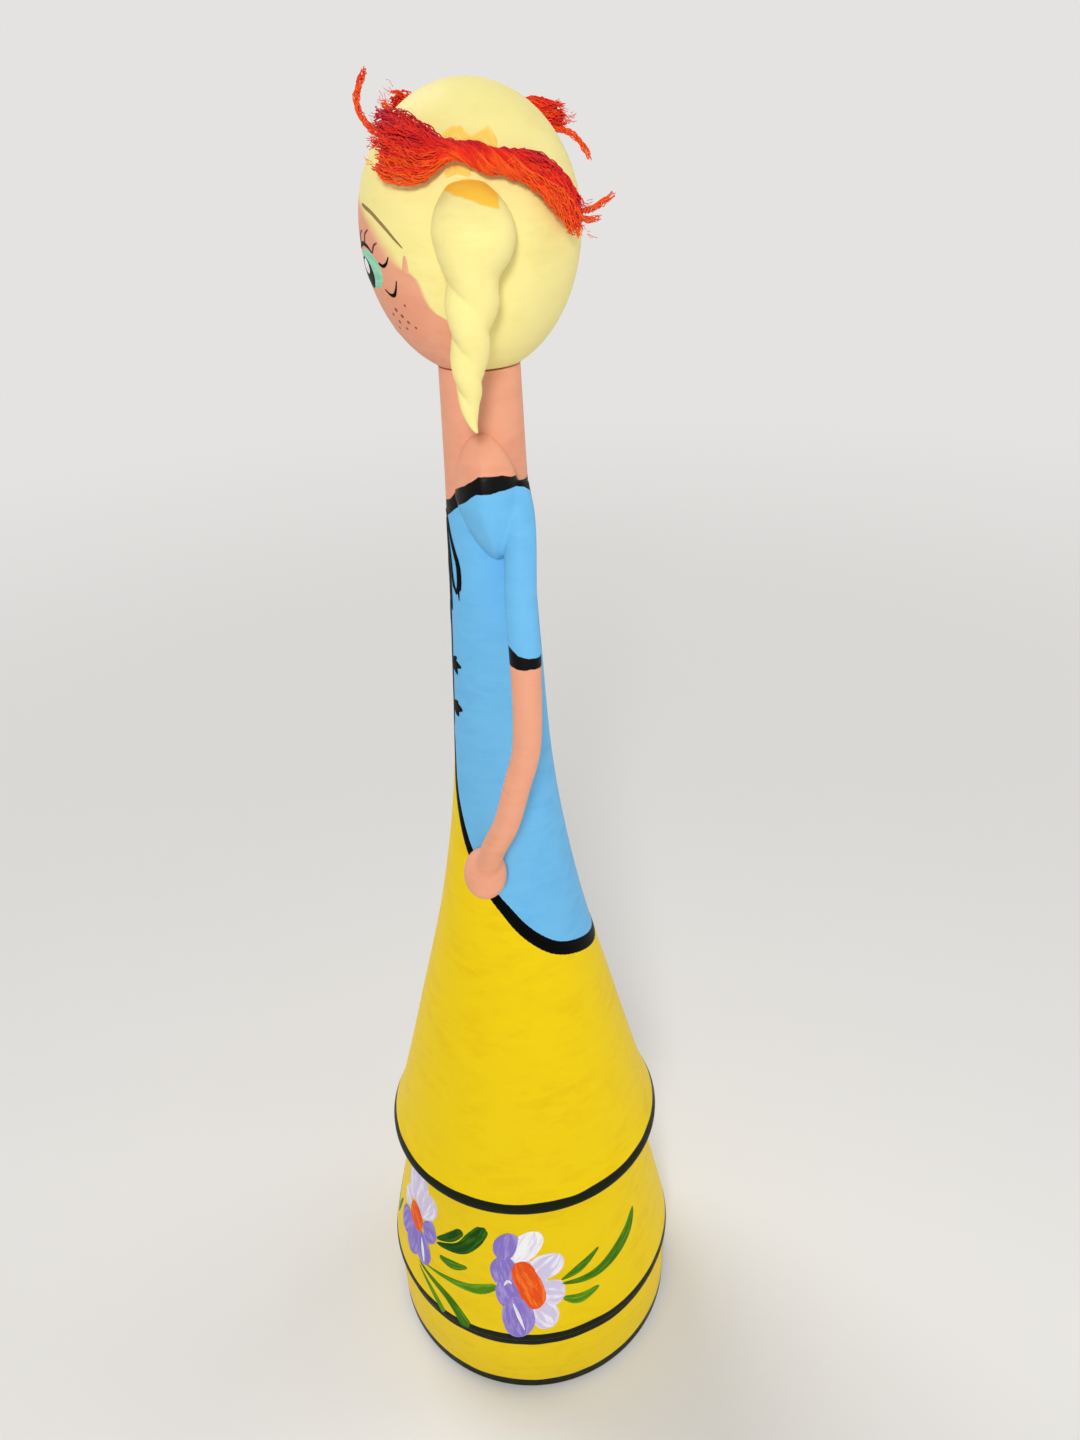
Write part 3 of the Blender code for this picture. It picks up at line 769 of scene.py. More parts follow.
plaitShape = {
    "rootRise": 0.0058,
    "halfTurns": ((0, 0), (0.0098, 0), (0.0166, 1), (0.0228, 2), (0.0285, 3), (0.0300, 3.2)),
    "twistFrom": (0.0075, 0.0125),
    "depth": 0.86,
    "apart": 0.23,  # how far apart the two strands lie, as a share of the half width
    "sides": 48,
    # millimetres down from the root, beyond the head's widest radius, towards the front, half width
    "route": (
        (-0.6, -1.8, 0.5, 0.8), (0, -1.2, 0.6, 2.4), (2.2, 0.4, 0.4, 4.3), (4.8, 1.3, 0.3, 5.1),
        (7.4, 1.6, 0.3, 4.6), (9.8, 1.6, 0.7, 3.7), (11.5, 1.5, 0.9, 3.5), (13.2, 1.4, 1, 3.4),
        (15, 1.3, 1.2, 3.2), (16.6, 1.1, 1.4, 3), (18, 1, 1.5, 2.7), (19.4, 0.8, 1.7, 2.5),
        (21, 0.6, 1.9, 2.3), (22.8, 0.3, 2, 2.1), (24.2, 0.2, 2, 1.7), (25.6, 0.1, 2.1, 1.3),
        (27.2, 0, 2, 1), (28.6, 0, 1.7, 0.6), (29.3, 0, 1.4, 0.2),
    ),
    "finer": {"SUBSURF": {"levels": 1, "render_levels": 1}},
    "tieEdge": (227.1, -0.32),  # lower edge of the ochre tie: height at the middle and its slope
    "tieHalfWidth": 3.3,
    "tieForward": 0.3,
}


def plaitPattern(where):
    _, back, height = (times(part, 1000.0) for part in parts(where))
    shake = wander(where, 420.0, 2.0, 1.0)
    edgeHeight, edgeSlope = plaitShape["tieEdge"]
    aboveEdge = above(plus(height, shake), plus(times(back, edgeSlope), edgeHeight), 0.15)
    aside = calc("ABSOLUTE", plus(back, plaitShape["tieForward"]))
    tie = times(aboveEdge, above(plus(plaitShape["tieHalfWidth"], shake), aside, 0.15))
    return blendColor(tie, brushed(where, "hair"), paint("ochre"))


def twistedPlait(name, side, material):
    root = headWidest + plaitShape["rootRise"]
    twistFrom, twistFull = plaitShape["twistFrom"]
    rings = []
    shape = bmesh.new()
    for down, out, front, half in smoothThrough(inMetres(plaitShape["route"]), 9):
        lobe = side * pi * between(plaitShape["halfTurns"], down)
        eased = min(1, max(0, (down - twistFrom) / (twistFull - twistFrom)))
        apart = plaitShape["apart"] * eased * eased * (3 - 2 * eased)
        strand = 1 - apart
        middle = Vector((side * (size["headRadius"] + out), -front, root - down))
        ring = []
        for step in range(plaitShape["sides"]):
            angle = tau * step / plaitShape["sides"]
            off = angle - lobe
            reach = apart * abs(cos(off)) + sqrt(strand**2 - (apart * sin(off)) ** 2)
            spot = Vector((plaitShape["depth"] * cos(angle), sin(angle), 0)) * half * reach
            ring.append(shape.verts.new(middle + spot))
        rings.append(ring)
    coverRings(shape, rings)
    return mouldedPiece(name, shape, material, plaitShape["finer"])


plaitPaint = paintFinish("plaitPaint", plaitPattern, 0.8)
leftPlait = twistedPlait("leftTwistedPlait", 1, plaitPaint)
rightPlait = twistedPlait("rightTwistedPlait", -1, plaitPaint)
print("plaits made")


# Brush strokes

strokeColors = {  # paint, and the streaks that the bristles leave in it
    "ink": ((4, 4, 4), (9, 9, 9)),
    "lavender": ((140, 120, 201), (170, 154, 219)),
    "pale": ((214, 203, 232), (244, 240, 250)),
    "white": ((250, 249, 250), (222, 212, 236)),
    "orange": ((238, 84, 26), (250, 128, 52)),
    "leafDark": ((24, 72, 14), (60, 112, 26)),
    "leaf": ((58, 112, 16), (104, 152, 36)),
    "leafLight": ((78, 134, 20), (128, 172, 48)),
    "teal": ((160, 222, 186), (136, 208, 174)),
    "lash": ((96, 62, 66), (120, 84, 84)),
    "brow": ((146, 120, 70), (168, 142, 88)),
    "freckle": ((146, 82, 60), (168, 96, 72)),
    "lip": ((196, 70, 60), (212, 96, 82)),
    "ochre": ((249, 207, 92), (252, 220, 122)),
    "skin": ((234, 168, 132), (238, 186, 140)),
}


def alike(color, layer, halves, rounding, *lines):  # strokes that differ only in where they lie
    return [(color, layer, line, halves, rounding) for line in lines]


# Each stroke: colour, layer, points (degrees from the front, height), half widths, end rounding, in mm
petticoatStrokes = (
    # side flower
    ("pale", 0, ((80.2, 38), (85, 32.4), (90, 26)), (3.4, 4.4, 3.8), 4.2),
    ("pale", 1, ((86.6, 27.8), (90.6, 24.8), (94.2, 21.6)), (2.2, 3.1, 2.5), 2.7),
    ("pale", 1, ((88.6, 31), (94.4, 29.8), (99.4, 28.7)), (2.3, 3.3, 3), 2.6),
    ("pale", 1, ((86.6, 33.8), (92.4, 36.4), (98.6, 39)), (2.2, 3.2, 2.7), 2.7),
    ("white", 1, ((79.8, 37.8), (84.6, 41.6), (88.2, 45.2)), (2.1, 2.9, 2.6), 2.7),
    ("lavender", 2, ((74.9, 38.2), (75.6, 41.4), (76.3, 44.6)), (2.3, 2.7, 2.6), 2.7),
    ("lavender", 2, ((76, 32), (74.3, 35.4), (72.8, 38.8)), (2.2, 2.8, 2.5), 2.6),
    ("lavender", 2, ((79, 26.6), (76.8, 30.2), (74.3, 33.7)), (2.4, 3, 2.4), 2.7),
    ("lavender", 3, ((77.9, 29.4), (80, 24.8), (82, 19.4)), (2.3, 3.5, 3), 3.2),
    ("orange", 3, ((80.1, 37.8), (84.7, 32.6), (89, 26.7)), (2.4, 2.9, 2.5), 3),
    ("white", 4, ((74.6, 32), (76.2, 33.2), (78, 32.6)), (0.12, 0.35, 0.12), 0.3),
    ("white", 4, ((78.2, 28), (80.4, 24.6), (82.6, 21)), (0.14, 0.50, 0.16), 0.4),
    # front flower
    ("pale", 0, ((20, 36.6), (24.4, 35.2), (28.8, 33.8)), (3.4, 4, 3.4), 3.6),
    *alike("pale", 1, (1.8, 2.7, 2.3), 2.3, ((19.6, 37.6), (16.8, 41.2), (14.6, 45)),
           ((25, 38), (25.4, 42), (25.8, 46.4)), ((29.4, 37), (32.4, 40.6), (35, 44.2)),
           ((18.4, 35.4), (13.4, 35.8), (9.4, 36))),
    ("lavender", 2, ((30.6, 35.8), (35.2, 35.6), (40.4, 35.2)), (1.9, 3, 2.7), 2.5),
    *alike("lavender", 2, (1.9, 2.8, 2.4), 2.5, ((29.4, 33.4), (32.6, 29.6), (35.2, 26.4)),
           ((24.8, 33), (24.4, 28.8), (24, 24.8)), ((19.6, 33.6), (16.2, 30), (13.2, 26.6))),
    ("orange", 3, ((19.8, 37.2), (24.4, 35.2), (29.2, 33)), (2.3, 2.7, 2.4), 2.7),
    ("white", 4, ((31, 32.2), (33, 29.4), (34.6, 27)), (0.14, 0.50, 0.16), 0.4),
    # leaves and stems
    ("leafDark", 0, ((40.6, 35.9), (48.4, 38.8), (54.2, 41.9)), (0.35, 1.15, 0.95), 0.9),
    ("leafDark", 1, ((40.8, 34.8), (53.6, 37.4), (59.9, 40.8), (65.4, 44.8)), (0.35, 1.30, 1.75, 1.30), 1.2),
    ("leaf", 0, ((43.4, 32.2), (50.6, 32.4), (58, 33.6)), (0.60, 1.15, 0.40), 0.6),
    ("leafLight", 0, ((34.8, 26.8), (46.6, 28), (59.7, 28.9), (65.3, 29.8), (72, 31.6)),
     (0.20, 0.55, 1.15, 1.35, 0.7), 0.6),
    ("leaf", 1, ((31, 25.8), (45.1, 24.3), (52.6, 22.3), (59.6, 18.4)), (0.25, 0.80, 1.15, 1.45), 0.7),
    ("leafLight", 0, ((31.6, 24.8), (41.2, 21.9), (48.2, 18.8)), (0.25, 0.75, 0.80), 0.5),
    ("leaf", 0, ((98.6, 32.5), (107.2, 34), (117.2, 36.6)), (0.25, 1.05, 0.35), 0.5),
    ("leaf", 1, ((98.6, 31.6), (107.7, 31), (116.1, 31.2), (126.5, 33), (134.3, 35.2), (140.4, 38.4)),
     (0.28, 0.75, 1.10, 1.50, 1.40, 0.60), 0.7),
    ("leafLight", 0, ((98.8, 28), (105.6, 26.6), (114.6, 27.4)), (0.60, 1.30, 0.50), 0.8),
    ("leaf", 0, ((0.6, 22.4), (3, 26), (6.6, 30.4)), (0.20, 0.85, 0.35), 0.5),
)

bodiceStrokes = (
    ("ink", 0, bodyPaint["hem"], bodyPaint["hemHalfWidths"], 0.2),
    ("ink", 1, ((8.6, 184.4), (9.4, 176), (9.6, 166), (9, 156), (6, 148.6), (0, 146.2)),
     (0.36, 0.42, 0.42, 0.40, 0.36, 0.30), 0.2),
    # lacing: a loop with its loose ends, two small leaves, two crossings
    ("ink", 2, ((2, 184.2), (11, 183.4), (20, 181), (30, 178.6), (36.5, 176.9), (38.3, 175.2),
                (37.5, 173.2), (33.5, 172.2), (27.5, 172.4), (22, 174.2), (16.5, 178.4), (4, 182.8)),
     (0.36, 0.42, 0.46, 0.50, 0.54, 0.55, 0.55, 0.50, 0.44, 0.40, 0.38, 0.36), 0.2),
    ("ink", 2, ((35, 172.8), (36.4, 171.8), (36.8, 170.9)), (0.34, 0.20, 0.08), 0.2),
    ("ink", 2, ((3, 182.8), (8, 178.6), (14.6, 173.6), (17, 168.6)), (0.36, 0.36, 0.36, 0.22), 0.2),
    ("ink", 2, ((9, 159.2), (21, 159.5), (35.5, 159.5)), (0.60, 0.80, 0.18), 0.3),
    ("ink", 2, ((12, 159.3), (20, 158.8), (26, 157.8)), (0.50, 0.85, 0.22), 0.3),
    ("ink", 2, ((12, 159.5), (19, 160.2), (25.5, 160.9)), (0.50, 0.55, 0.16), 0.2),
    ("ink", 2, ((9, 151.3), (21, 151.7), (34.5, 151.8)), (0.60, 0.95, 0.26), 0.3),
    ("ink", 2, ((12, 151.2), (20, 150.8), (25.5, 150.2)), (0.50, 0.85, 0.30), 0.3),
    ("ink", 2, ((12, 151.6), (19, 152.3), (25, 152.8)), (0.50, 0.55, 0.20), 0.2),
    *alike("ink", 1, (0.3, 0.34, 0.3), 0.2, ((-9, 177.6), (0, 175.6), (9, 173.6)),
           ((-9, 169.4), (0, 167.4), (9, 165.4))),
)

freckles = (  # two ends, half width, end rounding
    ((34.4, 214.2), (36.4, 213.9), 0.31, 0.26), ((37.6, 213.4), (40, 213.2), 0.29, 0.25),
    ((41.2, 212.7), (43, 212.4), 0.29, 0.25), ((45.8, 212), (47.4, 211.8), 0.24, 0.22),
    ((32, 212.5), (33.8, 212.3), 0.30, 0.26), ((36.4, 211.7), (38, 211.5), 0.26, 0.23),
    ((28.6, 213.4), (30.2, 213.2), 0.26, 0.23), ((27, 211.5), (28.6, 211.4), 0.24, 0.22),
    ((44.4, 214.9), (45.8, 214.7), 0.20, 0.18),
)
faceStrokes = (
    # eye, lashes and brow
    ("teal", 0, ((4.8, 218.7), (12, 218.8), (19, 218.8), (26, 218.6), (33.2, 218.2)),
     (2.6, 2.62, 2.65, 2.62, 2.55), 3.5),
    ("ink", 1, ((5, 218.4), (14.4, 218.4), (23.8, 218)), (2, 2.08, 2), 2.1),
    ("white", 2, ((10.6, 219), (15, 219), (19.6, 218.9)), (1, 1.05, 1), 1),
    ("ink", 1, ((6.2, 221), (10.4, 221.5), (17, 221.8), (23, 221.5), (27, 220.9)),
     (0.16, 0.26, 0.28, 0.20, 0.10), 0.1),
    *alike("lash", 1, (0.20, 0.17, 0.08), 0.1, ((10, 221.6), (12, 222.8), (16.6, 223.4)),
           ((19, 221.8), (21, 223), (25.6, 223.6)), ((27.6, 220.9), (30.2, 221.8), (33.6, 222.2))),
    ("ink", 1, ((32.4, 219.8), (36, 219.5), (39.4, 219.9), (41.8, 220.7)), (0.18, 0.22, 0.18, 0.08), 0.1),
    ("ink", 1, ((32, 216.6), (35.6, 216), (39.2, 216), (42.2, 216.8), (44.4, 217.9)),
     (0.10, 0.20, 0.24, 0.17, 0.08), 0.1),
    ("brow", 0, ((17, 226.4), (22, 226.15), (31, 225.5), (41.1, 224.1), (48.1, 222.7), (52.4, 221.8)),
     (0.18, 0.27, 0.28, 0.26, 0.20, 0.08), 0.15),
    *[("freckle", 0, (start, end), (half, half), rounding) for start, end, half, rounding in freckles],
    # mouth and nose
    ("lip", 0, ((-2, 209.8), (5, 210.1), (10.5, 210.9)), (0.34, 0.30, 0.08), 0.15),
    ("freckle", 0, ((-0.6, 213.9), (1.6, 214), (3.4, 214.4)), (0.14, 0.13, 0.06), 0.1),
    # ochre peaks of the hair tie above the bow, its lower end below it, and a wisp of skin in the hairline
    ("ochre", 0, ((71, 232.3), (88, 232.4), (106, 232.1)), (1.2, 1.4, 1.2), 0.9),
    ("ochre", 1, ((70.8, 232.8), (76, 233.4), (82, 234.15), (86.4, 233.5), (90.5, 233), (95.4, 233.4),
                  (100.8, 234), (103.6, 233.2), (105.8, 232.6)), (0.70, *[0.80] * 7, 0.60), 0.5),
    ("ochre", 0, ((76.4, 229.7), (82.6, 230.3), (89.6, 229.8)), (0.45, 0.55, 0.45), 0.4),
    ("skin", 0, ((51.6, 218.8), (52.4, 219.9), (52.8, 221)), (0.60, 0.46, 0.22), 0.3),
)

brush = {  # millimetres
    "steps": 22,
    "acrossSteps": 8,
    "longStroke": 14,  # past this length the steps are even
    "longStep": 1.2,
    "dome": 0.055,
    "fullDome": 0.6,  # half width from which a stroke has its full dome
    "layer": 0.030,
    "sink": 0.03,
    "edgeSink": 0.012,
    "under": 0.02,
    "underWidth": 0.8,
    "reach": 0.06,  # metres
}


def strokeRings(stroke, radiusAt, mirrored):
    _, layer, points, halves, rounding = stroke
    path = [Vector((*point, half)) for point, half in zip(points, halves)]
    if len(path) > 2:
        path = smoothThrough(path, 8)
    flat = []  # millimetres along the surface
    for angle, height, half in path:
        flat.append(Vector((radians(angle) * radiusAt(height * mm) / mm, height)))
    reach = [0.0]
    for before, after in zip(flat, flat[1:]):
        reach.append(reach[-1] + (after - before).length)
    total = reach[-1]
    base = brush["layer"] * layer
    edgeSink = brush["edgeSink"]
    acrossSteps = brush["acrossSteps"]
    rings = []
    count = max(brush["steps"], int(total / brush["longStep"]))
    for step in range(count + 1):
        share = step / count
        if total < brush["longStroke"]:
            share = 0.5 - 0.5 * cos(pi * share)
        spot = min(max(total * share, total * 0.0005), total * 0.9995)
        k = max(i for i in range(len(reach) - 1) if reach[i] <= spot)
        part = (spot - reach[k]) / max(1e-9, reach[k + 1] - reach[k])
        angle, height, half = path[k].lerp(path[k + 1], part)
        ahead = (flat[k + 1] - flat[k]).normalized()
        ends = min(spot, total - spot)
        if ends < rounding:
            half *= max(0.02, sqrt(max(0, 1 - ((rounding - ends) / rounding) ** 2)))
        rise = brush["dome"] * min(1, half / brush["fullDome"]) ** 0.5
        radius = radiusAt(height * mm) / mm
        spread = [2 * across / acrossSteps - 1 for across in range(acrossSteps + 1)]
        section = [(v, base - edgeSink + (rise + edgeSink) * (1 - v**4)) for v in spread]
        underside = base - brush["sink"] - brush["under"]
        section += [(brush["underWidth"], underside), (-brush["underWidth"], underside)]
        ring = []
        for v, lift in section:
            turn = radians(angle) - ahead.y * half * v / radius
            level = height + ahead.x * half * v
            ring.append(((-turn if mirrored else turn), lift * mm, level * mm, spot, v))
        rings.append(ring)
    return rings


def brushFinish():
    material, shader, where = newFinish("brushStrokes", 0.42, 0.03)

    def ofStroke(name, take):
        return put("ShaderNodeAttribute", {}, take, material.node_tree, attribute_name=name)

    bristles = cloud(ofStroke("bristle", "Vector"), (0.22, 3.2, 1.0), 3.0, 0.6)
    plain, streak = (ofStroke(name, "Color") for name in ("strokePaint", "streakPaint"))
    link(blendColor(ramp(bristles, 0.44, 0.66), plain, streak), shader, "Base Color")
    relief(plus(bristles, times(cloud(where, 1500.0, 2.0), 0.5)), shader, 0.8, 0.00005)
    return material


def paintedStrokes(name, strokes, radiusAt, surface):
    shape = bmesh.new()
    plain, streaks, bristle = [], [], []
    for number, stroke in enumerate(strokes):
        tone, streak = (paintColor(*color) for color in strokeColors[stroke[0]])
        for mirrored in (False, True):
            rings = strokeRings(stroke, radiusAt, mirrored)
            coverRings(shape, [[shape.verts.new(spot[:3]) for spot in ring] for ring in rings])
            for *_, along, v in sum(rings, []):
                plain += tone
                streaks += streak
                bristle += (along, v + 7.7 * number, 3.1 * number + 50 * mirrored)
    mesh = bpy.data.meshes.new(name)
    shape.to_mesh(mesh)
    shape.free()
    for label, values in (("strokePaint", plain), ("streakPaint", streaks)):
        mesh.color_attributes.new(label, "FLOAT_COLOR", "POINT").data.foreach_set("color", values)
    mesh.attributes.new("bristle", "FLOAT_VECTOR", "POINT").data.foreach_set("vector", bristle)
    given = {"Surface": surface, "Reach": brush["reach"], "Material": strokePaint}
    return nodePiece(name, mesh, paintWrap, given, 50)


strokePaint = brushFinish()
petticoatFlowers = paintedStrokes("petticoatFlowers", petticoatStrokes, petticoatRadius, petticoat)
bodiceLines = paintedStrokes("bodiceLines", bodiceStrokes, bodyRadius, body)
faceLines = paintedStrokes("faceLines", faceStrokes, headRadius, head)
print("brush strokes laid on")


# Yarn bows

yarnShape = {
    "halfThickness": 0.0013,
    "plies": 46,
    "rope": 0.9,  # turns of the hank where it is pinched over the plait
    "ropeFrom": 0.42,  # share of the hank at which those turns start, and over which they run
    "ropeOver": 0.40,
    "drifts": ((0.14, 5, 2.1), (0.10, 24, 1.7)),  # waves of each ply: reach, count, shift from ply to ply
    "ragged": 2.4,  # degrees by which the cut ends differ
    "fanOver": 0.26,  # share of the hank over which the upper plies fan out; the lower ones do so less
    "lowerFan": 0.2,
    "inset": 0.0002,
    "clear": 0.0003,
    "roundness": 0.72,
    "dyeSwing": 0.22,
    "looseness": (0.3, 0.0006, 0.0016),  # least spread of fibres, half height where it grows, over how much
    "hank": {
        "Fibres": 8, "Fibre radius": 0.000085, "Ply radius": 0.00034, "Twist": 900.0,
        "Crimp": 0.00048, "Crimp scale": 1150.0, "Fray": 0.06,
    },
    "tail": {
        "Fibres": 14, "Fibre radius": 0.00007, "Ply radius": 0.00032, "Twist": 1500.0,
        "Crimp": 0.00034, "Fray": 0.16,
    },
    "fluff": {
        "Fibres": 3, "Fibre radius": 0.000035, "Ply radius": 0.00030, "Twist": 600.0,
        "Crimp": 0.0006, "Fray": 0.5,
    },
    "fluffCount": 90,
    "fluffLength": (0.0008, 0.0021),
    "fluffAtEnds": 0.55,
    "fluffSway": 0.6,
    "fluffBend": 0.0006,
    "seed": 11,
    # stations: degrees from the front; then in mm above the head's widest level, half height, off the head
    # tails: degrees from the front; then in mm beyond the widest radius, above the widest level
    "left": {
        "fan": 20.0,  # degrees by which the topmost plies reach further forward
        "upperPlyTint": 0.42,  # how much redder the upper plies are
        "stations": (
            (39, 9.4, 3, 0.1), (45, 9.4, 3.4, 0), (55, 9.1, 3.4, 0), (65, 8.6, 2.9, 0), (72, 8.5, 1.9, 0),
            (77, 8.7, 1.2, 0), (83, 8.7, 0.9, 0.2), (89, 8.4, 1.1, 0.2), (95, 7.9, 1.4, 0.1),
            (102, 7.5, 1.3, 0), (108, 7.3, 1.4, 0), (117, 6.6, 1.8, 0), (130, 4.6, 2.6, 0.1),
            (140, 1.4, 2.4, 0.5),
        ),
        "tails": (
            ((46, -1.4, 10.6), (33, -1.2, 11.8), (21, -0.8, 14), (18, -1.4, 16.4), (20, -2.4, 18.4)),
            ((128, 1.2, 4.2), (136, 1.4, 2.8), (144, 1.6, 2), (151, 2.1, 2), (156, 2.9, 2.4), (160, 3.8, 3),
             (162.5, 4.7, 3.6)),
            ((131, 1, 3), (139, 1.2, 1.6), (146, 1.3, 1.1), (153, 2, 0.8), (157, 3.1, 0.9)),
        ),
    },
    "right": {
        "fan": 5.0,
        # here the upper plies are made more orange: painted light on this bow's top edge
        "upperPlyTint": -0.2,
        "stations": (
            (44, 11.5, 2.1, 1.4), (51, 10.9, 2.8, 0.8), (60, 9.9, 2.8, 0.2), (74, 8.9, 1.8, 0),
            (90, 8.8, 1.3, 0), (107, 9.1, 1.6, 0), (122, 10.1, 1.9, 0.5), (134, 10.2, 1.8, 2),
            (143, 9.5, 1.4, 3.6),
        ),
        "tails": (
            ((47, -2.4, 12.7), (40, -2.2, 13.5), (34, -2.4, 14.4)),
            ((140, 0.8, 10.8), (146, 3, 10), (150, 4.2, 8.4), (153, 4.7, 6.6)),
        ),
    },
    "dyes": ((204, 24, 42), (236, 40, 20), (252, 94, 22)),
    "dyeEdges": ((0.30, 0.56), (0.54, 0.86)),
}


def yarnFinish():
    material, shader, where = newFinish("variegatedYarn", 0.88, 0.2)
    shader.inputs["Sheen Weight"].default_value = 0.05
    shader.inputs["Sheen Roughness"].default_value = 0.6
    tint = put("ShaderNodeAttribute", {}, "Fac", material.node_tree, attribute_name="fibreTint")
    tone = plus(times(tint, 0.75), times(cloud(where, 170.0, 2.0), 0.4))
    color, *others = (paintColor(*plyTone) for plyTone in yarnShape["dyes"])
    for edge, plyTone in zip(yarnShape["dyeEdges"], others):
        color = blendColor(ramp(tone, *edge), color, plyTone)
    link(color, shader, "Base Color")
    relief(cloud(where, 5200.0, 2.0), shader, 0.7, 0.00005)
    return material


def offAxis(degrees, radius, height):
    angle = radians(degrees)
    return Vector((radius * sin(angle), -radius * cos(angle), height))


def offHead(degrees, height, distance):  # a point off the egg's surface, square to it
    step = 0.0003
    slope = (headRadius(height + step) - headRadius(height - step)) / (2 * step)
    outwards = offAxis(degrees, 1, -slope).normalized()
    return offAxis(degrees, headRadius(height), height) + outwards * distance


def plyGuides(side, bow):  # one line for each ply of the hank, with its tone: 0 deep red to 1 orange, from the upper plies' tint and a random swing of dye
    guides = []
    spine = smoothThrough(inMetres(bow["stations"], 1), 5)
    golden = pi * (3 - sqrt(5))
    drifts = yarnShape["drifts"]
    least, thin, full = yarnShape["looseness"]
    for number in range(yarnShape["plies"]):
        radius = sqrt((number + 0.5) / yarnShape["plies"])
        line = []
        for step, (degrees, rise, half, off) in enumerate(spine):
            share = step / (len(spine) - 1)
            twisted = min(1, max(0, (share - yarnShape["ropeFrom"]) / yarnShape["ropeOver"]))
            turn = number * golden + yarnShape["rope"] * tau * twisted
            drift = sum(wide * sin(waves * share + number * shift) for wide, waves, shift in drifts)
            up = max(-1, min(1, radius * cos(turn) + drift))
            out = radius * sin(turn)
            if step in (0, len(spine) - 1):
                degrees += yarnShape["ragged"] * sin(number * 12.9)
            fanned = up * abs(up) if up > 0 else yarnShape["lowerFan"] * up
            degrees -= bow["fan"] * fanned * max(0, 1 - share / yarnShape["fanOver"])
            height = headWidest + rise + (half - yarnShape["inset"]) * up
            thick = yarnShape["clear"] + off + yarnShape["halfThickness"] * (1 + yarnShape["roundness"] * out)
            # tone: the upper plies' tint, which on the right bow is painted light, plus a random swing of dye
            plyTone = min(1, max(0, 0.5 - bow["upperPlyTint"] * up + yarnShape["dyeSwing"] * sin(number * 3.7)))
            spread = min(1.0, least + (1 - least) * max(0, half - thin) / full)
            line.append((offHead(side * degrees, height, thick), plyTone, spread))
        guides.append(line)
    return guides


def tailGuides(side, tails):
    guides = []
    for number, tail in enumerate(tails):
        ends = []
        for turn, out, rise in inMetres(tail, 1):
            ends.append(offAxis(side * turn, size["headRadius"] + out, headWidest + rise))
        guides.append([(point, 0.75 + 0.1 * number, 1.0) for point in smoothThrough(ends, 6)])
    return guides


def fluffGuides(lines, chance):  # stray fibres that stand off the hank, thickest at its ends
    guides = []
    for number in range(yarnShape["fluffCount"]):
        line = chance.choice(lines)
        last = len(line) - 1
        atEnd = chance.random() < yarnShape["fluffAtEnds"]
        spot = chance.choice((0, 1, last - 1, last)) if atEnd else chance.randrange(1, last)
        point, plyTone, _ = line[spot]
        along = line[min(spot + 1, last)][0] - line[max(spot - 1, 0)][0]
        if spot < 2:
            along = -along
        away = Vector((point.x, point.y, 0)).normalized()
        sway = Vector([chance.uniform(-1, 1) for _ in range(3)]) * yarnShape["fluffSway"]
        aim = along.normalized() * (1.2 if atEnd else 0.5) + away * chance.uniform(0.1, 0.7) + sway
        bend = Vector([chance.uniform(-1, 1) for _ in range(3)]) * yarnShape["fluffBend"]
        reach = aim.normalized() * chance.uniform(*yarnShape["fluffLength"])
        shade = min(1, plyTone + 0.25)
        steps = (0, 0.2, 0.4, 0.6, 0.8, 1)
        guides.append([(point + reach * t + bend * t * t, shade, 0.3 + t) for t in steps])
    return guides


def yarnPiece(name, guides, settings):
    points, edges = [], []
    marks = {"plySeed": [], "plyTint": [], "plySpread": []}
    for number, line in enumerate(guides):
        edges += [(len(points) + i, len(points) + i + 1) for i in range(len(line) - 1)]
        for point, plyTone, spread in line:
            points.append(point)
            marks["plySeed"].append(modf(number * 0.618034 + 0.13)[0])
            marks["plyTint"].append(plyTone)
            marks["plySpread"].append(spread)
    mesh = bpy.data.meshes.new(name)
    mesh.from_pydata(points, edges, [])
    for label, values in marks.items():
        mesh.attributes.new(label, "FLOAT", "POINT").data.foreach_set("value", values)
    return nodePiece(name, mesh, yarnPlies, {**settings, "Material": yarn})


def yarnBow(name, side, bow):
    plies = plyGuides(side, bow)
    loose = tailGuides(side, bow["tails"])
    fluff = fluffGuides(plies + loose, random.Random(yarnShape["seed"] + side))
    return [
        yarnPiece(name, plies, yarnShape["hank"]),
        yarnPiece(name + "Tails", loose, yarnShape["tail"]),
        yarnPiece(name + "Fluff", fluff, yarnShape["fluff"]),
    ]


yarn = yarnFinish()
leftBow = yarnBow("leftYarnBow", 1, yarnShape["left"])
rightBow = yarnBow("rightYarnBow", -1, yarnShape["right"])
print("yarn bows made", [len(piece.data.polygons) for piece in leftBow + rightBow])


# Hidden joints keep their CAD solids

bareWood = woodFinish("bareWood")
hiddenJoints = ["centre_dowel", "neck_peg"]
hiddenJoints += [side + joint for joint in ("_arm_pin", "_plait_pin") for side in ("left", "right")]
for name in hiddenJoints:
    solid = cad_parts[name]
    solid.data.materials.clear()
    solid.data.materials.append(bareWood)

